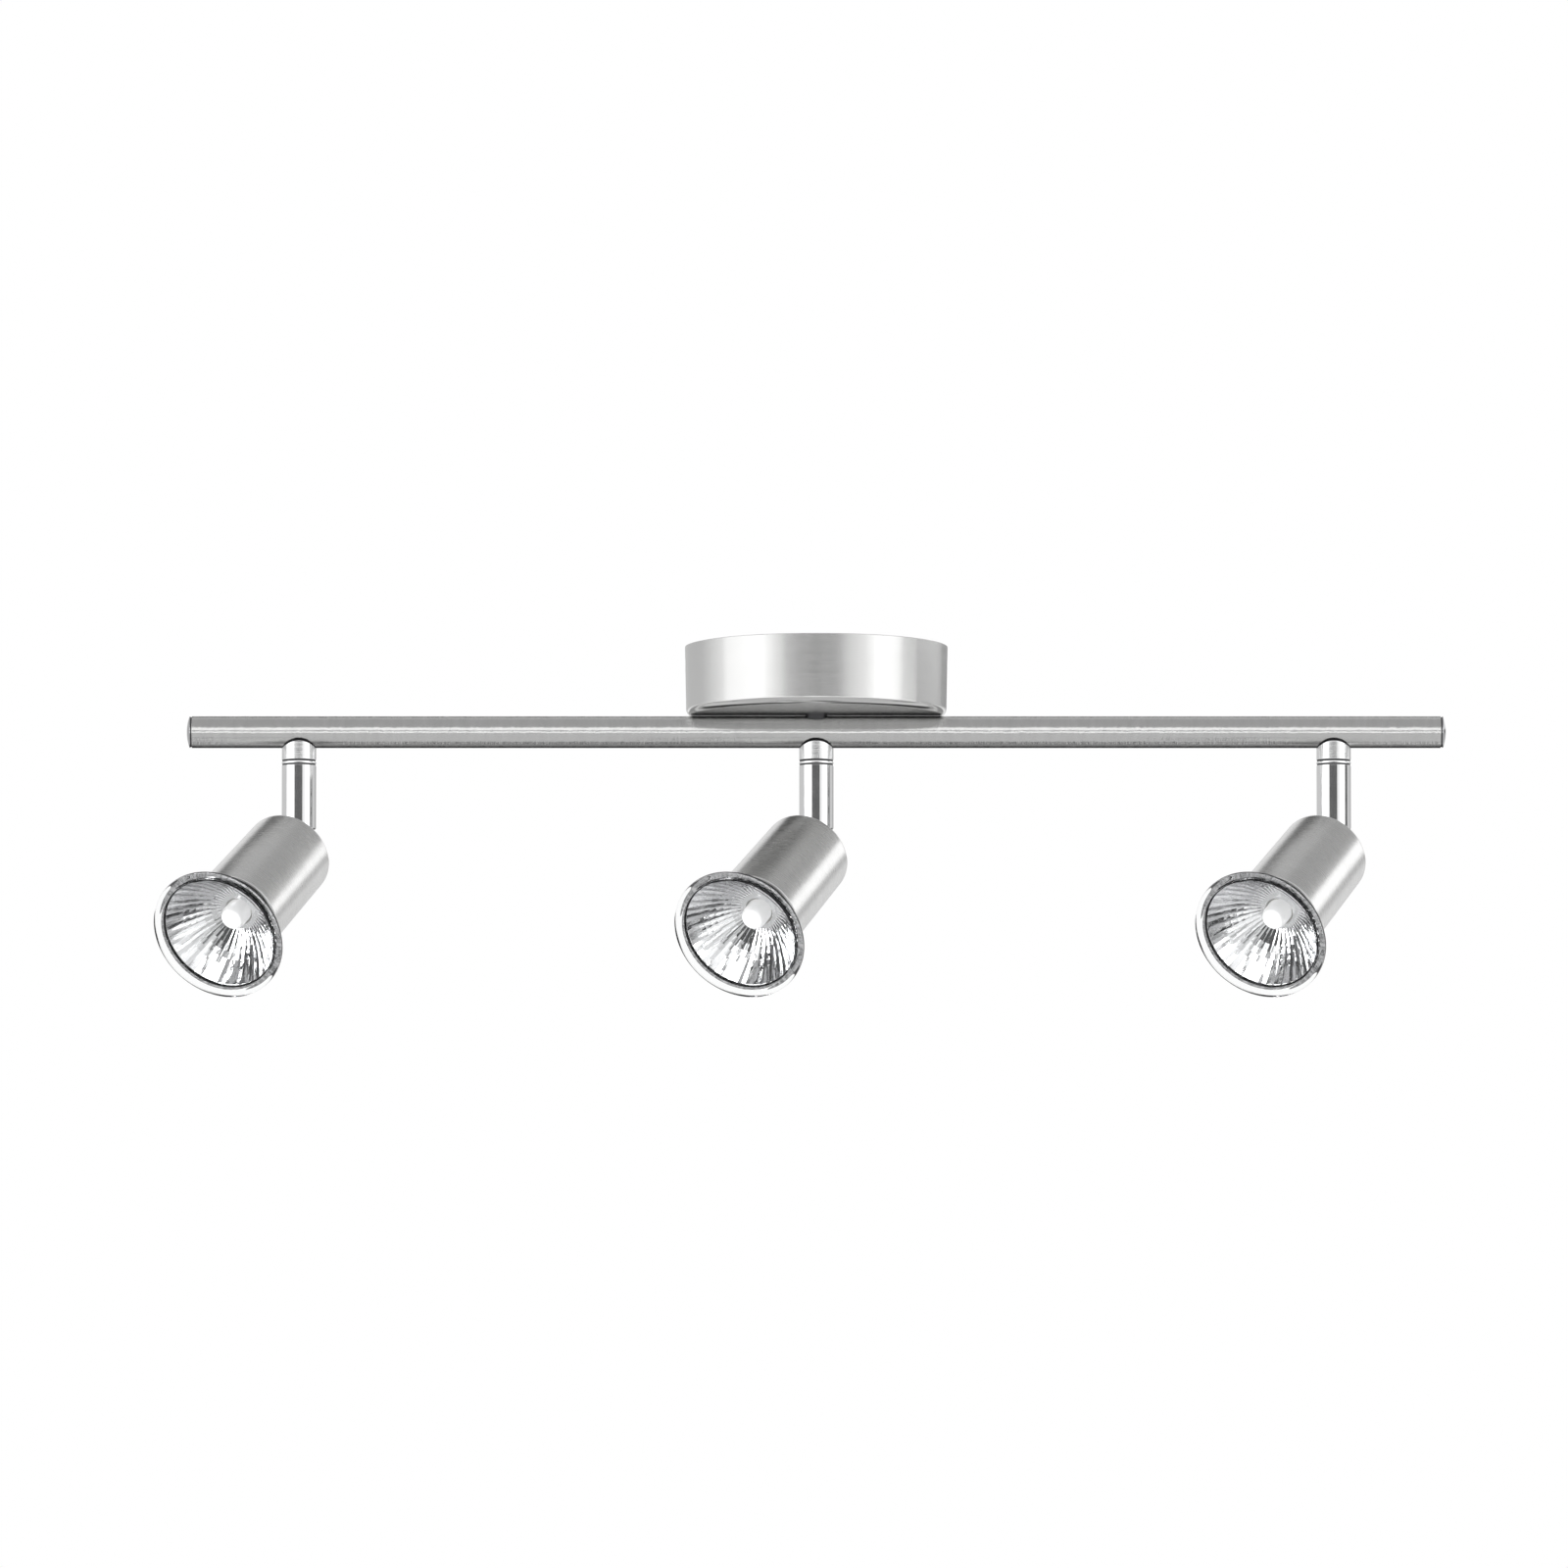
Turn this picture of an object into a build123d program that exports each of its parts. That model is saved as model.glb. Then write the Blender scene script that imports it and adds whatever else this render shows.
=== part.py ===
"""Three-spot ceiling bar: canopy, bar and three heads that pan, tilt and take bayonet lamps.

Millimetres. The ceiling is the plane z = 0, X runs along the bar and the front faces -Y.
"""

import math
import os

from build123d import *

# Canopy
CANOPY_DIAMETER = 96.0
CANOPY_HEIGHT = 25.3
CANOPY_WALL = 1.0
CANOPY_DRAFT = 0.5
CANOPY_EDGE_RADIUS = 3.5

# Ceiling bracket inside the canopy
BRACKET_WIDTH = 18.0
BRACKET_THICKNESS = 1.5
BRACKET_TAB_HEIGHT = 10.0
BRACKET_GAP = 1.0
SLOT_WIDTH = 4.6
SLOT_LENGTH = 10.0
SLOT_INSET = 11.8
SIDE_SCREW_DIAMETER = 4.0
SIDE_SCREW_LENGTH = 5.0
SIDE_SCREW_DROP = 6.0

# Terminal block on the bracket's side tab
TERMINAL_LENGTH = 26.0
TERMINAL_DEPTH = 16.0
TERMINAL_HEIGHT = 14.0
TERMINAL_POLES = 3
TERMINAL_OFFSET = 13.0
TERMINAL_HOLE = 4.2
BRACKET_SCREW_DIAMETER = 3.0
BRACKET_SCREW_HEAD = 5.6
BRACKET_SCREW_HEAD_HEIGHT = 2.2

# Bar
BAR_DIAMETER = 11.7
BAR_WALL = 1.0
BAR_STANDOFF = 0.1
HEAD_SPACING = 189.0
END_OVERHANG = 39.2
CAP_THICKNESS = 1.8
CAP_RIM = 0.8
CAP_PLUG_LENGTH = 8.0
CAP_PLUG_WALL = 1.2

# Hollow stub that joins the bar to the canopy
STUB_DIAMETER = 8.0
STUB_BORE = 5.8
STUB_NUT_WIDTH = 13.0
STUB_NUT_HEIGHT = 3.2
LOCK_WASHER_THICKNESS = 0.8
STUB_END = 2.0

# Pan swivel between collar and stem
COLLAR_SADDLE = 2.4
COLLAR_DROP = 4.9
RING_THICKNESS = 1.2
EDGE_BREAK = 0.25
STUD_DIAMETER = 6.4
STUD_BORE = 4.2
STUD_NUT_WIDTH = 8.4
STUD_NUT_HEIGHT = 3.0
STUD_END = 1.0
SWIVEL_GAP = 0.15
WASHER_THICKNESS = 0.5

# Stem
STEM_DIAMETER = 12.5
STEM_WALL = 1.05
STEM_LENGTH = 22.6
STEM_TOP_WALL = 3.0

# Tilt swivel at the foot of the stem
FORK_STEP = 1.05
FORK_SHOULDER = 6.0
FORK_SPIGOT = 7.0
FORK_SLOT = 4.6
EYE_RADIUS = 4.0
EYE_GAP = 0.3
EYE_SIDE_GAP = 0.1
EYE_HUB_RADIUS = 2.6
LEAD_RELIEF = 1.9
PIVOT_DIAMETER = 3.0
PIVOT_HEAD_DIAMETER = 5.0
PIVOT_HEAD_HEIGHT = 1.6
PIVOT_NUT_WIDTH = 5.5
PIVOT_NUT_HEIGHT = 2.0
PIVOT_SEAT = 1.5
REAR_CLEARANCE = 0.75
FLANGE_CLEARANCE = 0.4
FLANGE_DIAMETER = 11.0
SHANK_DIAMETER = 7.8
SHANK_NUT_WIDTH = 11.0
SHANK_NUT_HEIGHT = 3.0
SHANK_END = 0.8
SHANK_BORE = 3.4
SHANK_BORE_OFFSET = 1.0

# Head shell
SHELL_FRONT_DIAMETER = 34.1
SHELL_REAR_DIAMETER = 32.4
SHELL_WALL = 1.2
SHELL_EDGE_RADIUS = 3.0
SHELL_RIM_RADIUS = 0.4

# Lampholder
HOLDER_THICKNESS = 8.8
HOLDER_CLEARANCE = 1.1
HOLDER_PLATE = 3.2
HOLDER_SCREW_DIAMETER = 3.0
HOLDER_SCREW_HEAD = 5.0
HOLDER_SCREW_INSET = 3.2
HOLDER_LEG = 1.0
HOLDER_STRIP_WIDTH = 10.0
HOLDER_FOOT = 5.5
HOLDER_RISE = 10.3
HEAD_LEAD_DIAMETER = 1.3

# Lamp with a two-pin bayonet base
LAMP_DIAMETER = 50.5
LAMP_LENGTH = 46.0
LAMP_PROTRUSION = 15.5
LAMP_RIM = 3.6
LAMP_RIM_WIDTH = 2.9
LAMP_RIM_ROUND = 1.2
COVER_THICKNESS = 1.6
COVER_RECESS = 1.2
BOWL_WALL = 1.4
BOWL_CLEARANCE = 0.65
BOWL_STEP = 2.0
BOWL_SEAT = 1.4
FACETS = 40
FACET_RINGS = 6
NECK_RADIUS = 8.6
NECK_LENGTH = 8.0
NECK_BORE = 5.4
BASE_WALL = 1.2
BASE_SOCKET = 3.0
BASE_CHAMFER = 1.2
PIN_SPACING = 10.0
PIN_NECK_DIAMETER = 3.0
PIN_HEAD_DIAMETER = 5.0
PIN_HEAD_HEIGHT = 2.8
PIN_ROOT = 4.0
TWIST_ANGLE = 30.0
BURNER_DIAMETER = 9.2
BURNER_DEPTH = 13.0
PINCH_WIDTH = 7.0
PINCH_THICKNESS = 3.0

# Leads
LEAD_DIAMETER = 2.4
LEAD_BEND = 4.0
LEAD_RISE = 4.0
LEAD_GAP = 0.2

# Fits
RUNNING_FIT = 0.05
CLOSE_FIT = 0.02
PIN_FIT = 0.25
HOLE_FIT = 0.1
LAMP_SEAT_GAP = 0.2

# How the heads point at rest: degrees round the stem from the front, and below the horizontal
HEAD_PAN = 27.6
HEAD_TILT = 32.6

# Heights and radii that follow from the sizes above
canopy_radius = CANOPY_DIAMETER / 2
bar_radius = BAR_DIAMETER / 2
bar_bore_radius = bar_radius - BAR_WALL
bar_axis_z = -CANOPY_HEIGHT - BAR_STANDOFF - bar_radius
bar_bottom_z = bar_axis_z - bar_radius
bar_half = HEAD_SPACING + END_OVERHANG
canopy_floor_z = -CANOPY_HEIGHT + CANOPY_WALL
stub_top_z = canopy_floor_z + LOCK_WASHER_THICKNESS + STUB_NUT_HEIGHT + STUB_END
collar_bottom_z = bar_bottom_z - COLLAR_DROP
ring_bottom_z = collar_bottom_z - RING_THICKNESS
stem_radius = STEM_DIAMETER / 2
stem_bore_radius = stem_radius - STEM_WALL
stem_top_z = ring_bottom_z - SWIVEL_GAP
stem_shelf_z = stem_top_z - STEM_TOP_WALL
stem_bottom_z = stem_top_z - STEM_LENGTH
stud_top_z = bar_bottom_z + BAR_WALL + STUD_END
stud_washer_z = stem_shelf_z - SWIVEL_GAP
stud_nut_z = stud_washer_z - WASHER_THICKNESS
stud_bottom_z = stud_nut_z - STUD_NUT_HEIGHT - STUD_END
pivot_z = stem_bottom_z - FORK_SHOULDER
fork_radius = stem_radius - FORK_STEP

# Distances along a head from its pivot
rear_face = stem_radius + REAR_CLEARANCE
flange_start = fork_radius + FLANGE_CLEARANCE
wall_inside = rear_face + SHELL_WALL
shank_end = wall_inside + HOLDER_LEG + SHANK_NUT_HEIGHT + SHANK_END
holder_rear = wall_inside + HOLDER_RISE
holder_front = holder_rear + HOLDER_THICKNESS
base_end = holder_front + LAMP_SEAT_GAP
lamp_front = base_end + LAMP_LENGTH
shell_front = lamp_front - LAMP_PROTRUSION
shell_length = shell_front - rear_face
eye_thickness = FORK_SLOT - WASHER_THICKNESS - 2 * EYE_SIDE_GAP
eye_low = -FORK_SLOT / 2 + EYE_SIDE_GAP
eye_high = eye_low + eye_thickness

# Lead places: the three sleeves share the stub's bore round a circle
lead_radius = LEAD_DIAMETER / 2
lead_circle = (LEAD_DIAMETER + LEAD_GAP) / math.sqrt(3)
lead_side = lead_circle * math.cos(math.radians(30))
lead_front = -lead_circle / 2
lead_run_z = bar_axis_z + lead_radius / 2
lead_turn_z = stub_top_z + LEAD_BEND + LEAD_RISE

STATIONS = {"left": -HEAD_SPACING, "middle": 0.0, "right": HEAD_SPACING}


def cylinder(radius, low, high):
    """A cylinder on the Z axis between two heights."""
    return Pos(0, 0, low) * Cylinder(radius, high - low, align=(Align.CENTER, Align.CENTER, Align.MIN))


def block(x, y, z):
    """A box between three pairs of limits."""
    size = [pair[1] - pair[0] for pair in (x, y, z)]
    middle = [(pair[0] + pair[1]) / 2 for pair in (x, y, z)]
    return Pos(*middle) * Box(*size)


def hexagon(width, low, high):
    """A hexagonal prism on the Z axis."""
    outline = RegularPolygon(width / 2, 6, major_radius=False)
    return Pos(0, 0, low) * extrude(outline, high - low)


def turned(points, rounds=()):
    """A solid turned about Z from (radius, height) points, with some corners rounded."""
    outline = make_face(Polyline(*points, close=True))
    for corner, radius in rounds:
        outline = fillet(outline.vertices().sort_by_distance(corner)[0], radius)
    return revolve(Plane.XZ * outline, Axis.Z)


def group(*solids):
    """Separate solids kept as one node."""
    return Compound([solid for shape in solids for solid in shape.solids()])


def along_x(shape):
    """Turns a shape built on the Z axis so that its axis lies along X."""
    return Rot(0, 90, 0) * shape


def canopy_radius_at(z):
    """Outer radius of the drafted canopy wall at a height."""
    return canopy_radius + CANOPY_DRAFT * z / CANOPY_HEIGHT


def canopy():
    """Drafted cup, open to the ceiling, with a hole for the stub and two side holes."""
    low = -CANOPY_HEIGHT
    outer_low = (canopy_radius_at(low), low)
    inner_low = (canopy_radius_at(low) - CANOPY_WALL, canopy_floor_z)
    inner_top = (canopy_radius - CANOPY_WALL, 0)
    points = [(0, low), outer_low, (canopy_radius, 0), inner_top, inner_low, (0, canopy_floor_z)]
    rounds = [(outer_low, CANOPY_EDGE_RADIUS), (inner_low, CANOPY_EDGE_RADIUS - CANOPY_WALL)]
    cup = turned(points, rounds)
    cup -= cylinder(STUB_DIAMETER / 2 + HOLE_FIT, low - 1, canopy_floor_z + 1)
    hole = along_x(cylinder(SIDE_SCREW_DIAMETER / 2 + HOLE_FIT, -CANOPY_DIAMETER, CANOPY_DIAMETER))
    return cup - Pos(0, 0, -SIDE_SCREW_DROP) * hole


bracket_half = canopy_radius_at(-BRACKET_TAB_HEIGHT) - CANOPY_WALL - BRACKET_GAP
slot_x = bracket_half - SLOT_INSET
tab_half = BRACKET_WIDTH / 3
terminal_low_y = TERMINAL_OFFSET
terminal_high_y = TERMINAL_OFFSET + TERMINAL_DEPTH
terminal_low_z = -BRACKET_THICKNESS - TERMINAL_HEIGHT
pole_pitch = TERMINAL_LENGTH / TERMINAL_POLES
pole_places = [(i - (TERMINAL_POLES - 1) / 2) * pole_pitch for i in range(TERMINAL_POLES)]
block_screw = (pole_pitch / 2, (terminal_low_y + terminal_high_y) / 2)
earth_screw = (-slot_x / 2, 0)


def mounting_bracket():
    """Strap with two turned-down tabs, two ceiling slots and a side tab for the terminal block."""
    half_width = BRACKET_WIDTH / 2
    strap = block((-bracket_half, bracket_half), (-half_width, half_width), (-BRACKET_THICKNESS, 0))
    side_tab = block((-tab_half, tab_half), (0, terminal_high_y), (-BRACKET_THICKNESS, 0))
    strap += side_tab
    for side in (-1, 1):
        outer = side * bracket_half
        inner = outer - side * BRACKET_THICKNESS
        strap += block(sorted((inner, outer)), (-tab_half, tab_half), (-BRACKET_TAB_HEIGHT, 0))
        slot = SlotOverall(SLOT_LENGTH, SLOT_WIDTH)
        strap -= Pos(side * slot_x, 0, -2 * BRACKET_THICKNESS) * extrude(slot, 4 * BRACKET_THICKNESS)
    screw_bore = cylinder(SIDE_SCREW_DIAMETER / 2 + CLOSE_FIT, -CANOPY_DIAMETER, CANOPY_DIAMETER)
    strap -= Pos(0, 0, -SIDE_SCREW_DROP) * along_x(screw_bore)
    for x, y in (block_screw, earth_screw):
        strap -= Pos(x, y, 0) * cylinder(BRACKET_SCREW_DIAMETER / 2 + CLOSE_FIT, -2 * BRACKET_THICKNESS, 1)
    return strap


def canopy_screws():
    """Two slotted headless screws, threaded in the tabs, whose outer ends hold the canopy."""
    outer = canopy_radius_at(-SIDE_SCREW_DROP) - HOLE_FIT
    screw = cylinder(SIDE_SCREW_DIAMETER / 2, outer - SIDE_SCREW_LENGTH, outer)
    screw -= block((-0.4, 0.4), (-SIDE_SCREW_DIAMETER, SIDE_SCREW_DIAMETER), (outer - 1.2, outer + 1))
    placed = Pos(0, 0, -SIDE_SCREW_DROP) * along_x(screw)
    return group(placed, Rot(0, 0, 180) * placed)


def headed_screw(diameter, head_diameter, head_height, length):
    """Slotted screw with its head below z = 0 and its shank above."""
    screw = cylinder(diameter / 2, 0, length) + cylinder(head_diameter / 2, -head_height, 0)
    return screw - block((-head_diameter, head_diameter), (-0.4, 0.4), (-head_height - 1, -head_height / 2))


def bracket_screws():
    """Earth screw and terminal block screw."""
    sizes = (BRACKET_SCREW_DIAMETER, BRACKET_SCREW_HEAD, BRACKET_SCREW_HEAD_HEIGHT)
    earth = headed_screw(*sizes, BRACKET_THICKNESS - HOLE_FIT)
    fixing = headed_screw(*sizes, TERMINAL_HEIGHT + BRACKET_THICKNESS - HOLE_FIT)
    placed_earth = Pos(*earth_screw, -BRACKET_THICKNESS) * earth
    return group(placed_earth, Pos(*block_screw, terminal_low_z) * fixing)


def terminal_block():
    """Insulating block with a lead entry on both sides and clamp screw wells at each pole."""
    half = TERMINAL_LENGTH / 2
    body = block((-half, half), (terminal_low_y, terminal_high_y), (terminal_low_z, -BRACKET_THICKNESS))
    entry = Rot(-90, 0, 0) * cylinder(TERMINAL_HOLE / 2, terminal_low_y - 1, terminal_high_y + 1)
    well = cylinder(TERMINAL_HOLE / 2 - HOLE_FIT, terminal_low_z - 1, lead_turn_z)
    for x in pole_places:
        body -= Pos(x, 0, lead_turn_z) * entry
        for y in well_places():
            body -= Pos(x, y, 0) * well
    bore = cylinder(BRACKET_SCREW_DIAMETER / 2 + CLOSE_FIT, terminal_low_z - 1, 1)
    return body - Pos(*block_screw, 0) * bore


def well_places():
    """Depths of the two clamp screws of a pole."""
    return [terminal_low_y + TERMINAL_DEPTH * share for share in (0.25, 0.75)]


def terminal_screws():
    """Clamp screws, one at each end of each pole."""
    depth = lead_turn_z - TERMINAL_HOLE / 2 - terminal_low_z
    screw = cylinder(TERMINAL_HOLE / 2 - 2 * HOLE_FIT, terminal_low_z + depth / 4, terminal_low_z + depth)
    screw -= block((-TERMINAL_HOLE, TERMINAL_HOLE), (-0.3, 0.3), (terminal_low_z, terminal_low_z + depth / 2))
    return group(*[Pos(x, y, 0) * screw for x in pole_places for y in well_places()])


def bar_tube():
    """Tube with one hole in the top for the stub and one below at each head."""
    tube = cylinder(bar_radius, -bar_half, bar_half) - cylinder(bar_bore_radius, -bar_half, bar_half)
    tube = Pos(0, 0, bar_axis_z) * along_x(tube)
    tube -= cylinder(STUB_BORE / 2, bar_axis_z, 0)
    for x in STATIONS.values():
        tube -= Pos(x, 0, 0) * cylinder(STUD_DIAMETER / 2 + HOLE_FIT, bar_bottom_z - 1, bar_axis_z)
    return tube


def bar_solid(length):
    """The bar's outside as a solid, for saddle cuts."""
    return Pos(0, 0, bar_axis_z) * along_x(cylinder(bar_radius, -length / 2, length / 2))


def bar_stub():
    """Hollow threaded stub, saddled on the bar and rising through the canopy floor."""
    stub = cylinder(STUB_DIAMETER / 2, bar_axis_z, stub_top_z) - cylinder(STUB_BORE / 2, bar_axis_z, stub_top_z)
    return stub - bar_solid(4 * STUB_DIAMETER)


def stub_nut_and_washer():
    """Lock washer and nut that clamp the canopy to the stub."""
    washer_top = canopy_floor_z + LOCK_WASHER_THICKNESS
    bore = cylinder(STUB_DIAMETER / 2 + CLOSE_FIT, canopy_floor_z - 1, 0)
    washer = cylinder(STUB_NUT_WIDTH / 2 + 1, canopy_floor_z, washer_top) - bore
    nut = hexagon(STUB_NUT_WIDTH, washer_top, washer_top + STUB_NUT_HEIGHT) - bore
    return group(washer, nut)


def end_cap(side):
    """Domed cap with a hollow plug in the end of the tube."""
    plug = bar_bore_radius - RUNNING_FIT
    inner = plug - CAP_PLUG_WALL
    edge = bar_radius - HOLE_FIT
    dome_radius = (edge**2 + (CAP_THICKNESS - CAP_RIM) ** 2) / (2 * (CAP_THICKNESS - CAP_RIM))
    dome = Pos(0, 0, CAP_THICKNESS - dome_radius) * Sphere(dome_radius)
    cap = cylinder(edge, 0, CAP_THICKNESS) & dome
    cap += cylinder(plug, -CAP_PLUG_LENGTH, 0) - cylinder(inner, -CAP_PLUG_LENGTH, 0)
    placed = Pos(bar_half, 0, bar_axis_z) * along_x(cap)
    return placed if side > 0 else Rot(0, 0, 180) * placed


def collar(x):
    """Saddled collar under the bar, bored for the stud."""
    top = bar_bottom_z + COLLAR_SADDLE
    points = [(0, collar_bottom_z), (stem_radius, collar_bottom_z), (stem_radius, top), (0, top)]
    body = turned(points, [((stem_radius, collar_bottom_z), EDGE_BREAK)])
    body -= cylinder(STUD_DIAMETER / 2 + CLOSE_FIT, collar_bottom_z - 1, top + 1)
    return Pos(x, 0, 0) * (body - bar_solid(4 * STEM_DIAMETER))


def swivel_stud():
    """Hollow stud through bar, collar and the top of the stem."""
    rod = cylinder(STUD_DIAMETER / 2, stud_bottom_z, stud_top_z)
    return rod - cylinder(STUD_BORE / 2, stud_bottom_z, stud_top_z)


def swivel_ring():
    """Thin polished ring between collar and stem."""
    points = [(0, ring_bottom_z), (stem_radius, ring_bottom_z), (stem_radius, collar_bottom_z)]
    points.append((0, collar_bottom_z))
    rounds = [(points[1], EDGE_BREAK), (points[2], EDGE_BREAK)]
    bore = cylinder(STUD_DIAMETER / 2 + CLOSE_FIT, ring_bottom_z - 1, collar_bottom_z + 1)
    return turned(points, rounds) - bore


def stud_nut_and_washer():
    """Washer and nut on the stud, inside the stem, that carry the stem."""
    bore = cylinder(STUD_DIAMETER / 2 + CLOSE_FIT, stud_bottom_z, stem_shelf_z)
    washer = cylinder(STUD_NUT_WIDTH / 2, stud_nut_z, stud_washer_z) - bore
    nut = hexagon(STUD_NUT_WIDTH, stud_nut_z - STUD_NUT_HEIGHT, stud_nut_z) - bore
    return group(washer, nut)


def lead(points):
    """A round sleeved lead along straight runs joined by arcs."""
    path = FilletPolyline(*points, radius=LEAD_BEND)
    section = Plane(origin=path @ 0, z_dir=path % 0) * Circle(lead_radius)
    return sweep(section, path=path)


def lamp_leads():
    """One sleeved lead from the terminal block to each stem, through stub and bar."""
    foot_z = stem_bottom_z + FORK_SPIGOT + 1
    entry_y = terminal_low_y + TERMINAL_DEPTH / 10
    leads = []
    for side, pole in ((-1, pole_places[0]), (1, pole_places[-1])):
        x = side * lead_side
        spread_y = terminal_low_y - LEAD_BEND
        points = [(side * HEAD_SPACING, lead_front, foot_z), (side * HEAD_SPACING, lead_front, lead_run_z)]
        points += [(x, lead_front, lead_run_z), (x, lead_front, lead_turn_z)]
        points += [(pole, spread_y, lead_turn_z), (pole, entry_y, lead_turn_z)]
        leads.append(lead(points))
    drop_y = STUD_BORE / 2 - lead_radius - HOLE_FIT
    points = [(0, drop_y, foot_z), (0, drop_y, bar_axis_z - bar_radius)]
    points += [(0, lead_circle, bar_axis_z + bar_radius), (0, lead_circle, lead_turn_z)]
    points.append((0, entry_y, lead_turn_z))
    leads.append(lead(points))
    return group(*leads)


def stem():
    """Tube closed at the top round the stud and open below for the fork."""
    points = [(0, stem_bottom_z), (stem_radius, stem_bottom_z), (stem_radius, stem_top_z), (0, stem_top_z)]
    tube = turned(points, [(points[2], EDGE_BREAK)])
    tube -= cylinder(stem_bore_radius, stem_bottom_z - 1, stem_shelf_z)
    return tube - cylinder(STUD_DIAMETER / 2 + RUNNING_FIT, stem_shelf_z - 1, stem_top_z + 1)


def along_pivot(shape):
    """Turns a shape built on the Z axis so that its axis lies along the local X axis."""
    return Rot(0, 90, 0) * shape


def swivel_fork():
    """Fork about the pivot, open to the front and below, with a spigot in the stem."""
    body = cylinder(fork_radius, 0, FORK_SHOULDER) + along_pivot(cylinder(fork_radius, -fork_radius, fork_radius))
    body = body & cylinder(fork_radius, -fork_radius - 1, FORK_SHOULDER)
    body += cylinder(stem_bore_radius - CLOSE_FIT, FORK_SHOULDER, FORK_SHOULDER + FORK_SPIGOT)
    reach = EYE_RADIUS + EYE_GAP
    half_slot = FORK_SLOT / 2
    body -= block((-half_slot, half_slot), (-2 * fork_radius, reach), (-2 * fork_radius, reach))
    body -= cylinder(half_slot, 0, FORK_SHOULDER + FORK_SPIGOT + 1)
    body -= along_pivot(cylinder(PIVOT_DIAMETER / 2 + CLOSE_FIT, -STEM_DIAMETER, STEM_DIAMETER))
    seat = half_slot + PIVOT_SEAT
    body -= along_pivot(cylinder(PIVOT_HEAD_DIAMETER / 2 + HOLE_FIT, seat, STEM_DIAMETER))
    recess = PIVOT_NUT_WIDTH / math.sqrt(3) + HOLE_FIT
    return body - along_pivot(cylinder(recess, -STEM_DIAMETER, -seat))


def pivot_fasteners():
    """Pivot screw, its nut, and the friction washer beside the eye."""
    seat = FORK_SLOT / 2 + PIVOT_SEAT
    screw = cylinder(PIVOT_DIAMETER / 2, -seat - PIVOT_NUT_HEIGHT, seat)
    screw += cylinder(PIVOT_HEAD_DIAMETER / 2, seat, seat + PIVOT_HEAD_HEIGHT)
    screw -= block((-0.4, 0.4), (-PIVOT_HEAD_DIAMETER, PIVOT_HEAD_DIAMETER), (seat + 0.8, seat + 4))
    nut = hexagon(PIVOT_NUT_WIDTH, -seat - PIVOT_NUT_HEIGHT, -seat)
    nut -= cylinder(PIVOT_DIAMETER / 2 + CLOSE_FIT, -2 * seat, 0)
    washer = cylinder(EYE_RADIUS - EYE_GAP, FORK_SLOT / 2 - WASHER_THICKNESS, FORK_SLOT / 2)
    washer -= cylinder(PIVOT_DIAMETER / 2 + CLOSE_FIT, 0, FORK_SLOT)
    return group(*[along_pivot(shape) for shape in (screw, nut, washer)])


def swivel_tongue():
    """Eye on the pivot, relieved on one side for the leads, with a flange and a hollow shank."""
    eye = along_pivot(cylinder(EYE_RADIUS, eye_low, eye_high))
    eye += block((eye_low, eye_high), (-EYE_RADIUS, EYE_RADIUS), (0, flange_start))
    relief = block((eye_high - LEAD_RELIEF, eye_high + 1), (-2 * EYE_RADIUS, 2 * EYE_RADIUS), (-9, flange_start))
    eye -= relief - along_pivot(cylinder(EYE_HUB_RADIUS, eye_low, eye_high))
    eye -= along_pivot(cylinder(PIVOT_DIAMETER / 2 + RUNNING_FIT, -FORK_SLOT, FORK_SLOT))
    eye += cylinder(FLANGE_DIAMETER / 2, flange_start, rear_face)
    eye += cylinder(SHANK_DIAMETER / 2, rear_face, shank_end)
    return eye - Pos(SHANK_BORE_OFFSET, 0, 0) * cylinder(SHANK_BORE / 2, flange_start - 0.5, shank_end + 1)


def shell_radius_at(z):
    """Outer radius of the tapered shell at a distance from the pivot."""
    share = (z - rear_face) / shell_length
    return (SHELL_REAR_DIAMETER + (SHELL_FRONT_DIAMETER - SHELL_REAR_DIAMETER) * share) / 2


def head_shell():
    """Tapered cup, open at the front, with a hole at the rear for the shank."""
    rear = shell_radius_at(rear_face)
    front = shell_radius_at(shell_front)
    inside = shell_radius_at(wall_inside) - SHELL_WALL
    points = [(0, rear_face), (rear, rear_face), (front, shell_front), (front - SHELL_WALL, shell_front)]
    points += [(inside, wall_inside), (0, wall_inside)]
    rounds = [(points[1], SHELL_EDGE_RADIUS), (points[2], SHELL_RIM_RADIUS), (points[3], SHELL_RIM_RADIUS)]
    rounds.append((points[4], SHELL_EDGE_RADIUS - SHELL_WALL))
    return turned(points, rounds) - cylinder(SHANK_DIAMETER / 2 + HOLE_FIT, rear_face - 1, wall_inside + 1)


holder_radius = shell_radius_at(holder_rear) - SHELL_WALL - HOLDER_CLEARANCE
holder_screw_y = holder_radius - HOLDER_SCREW_INSET


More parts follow.
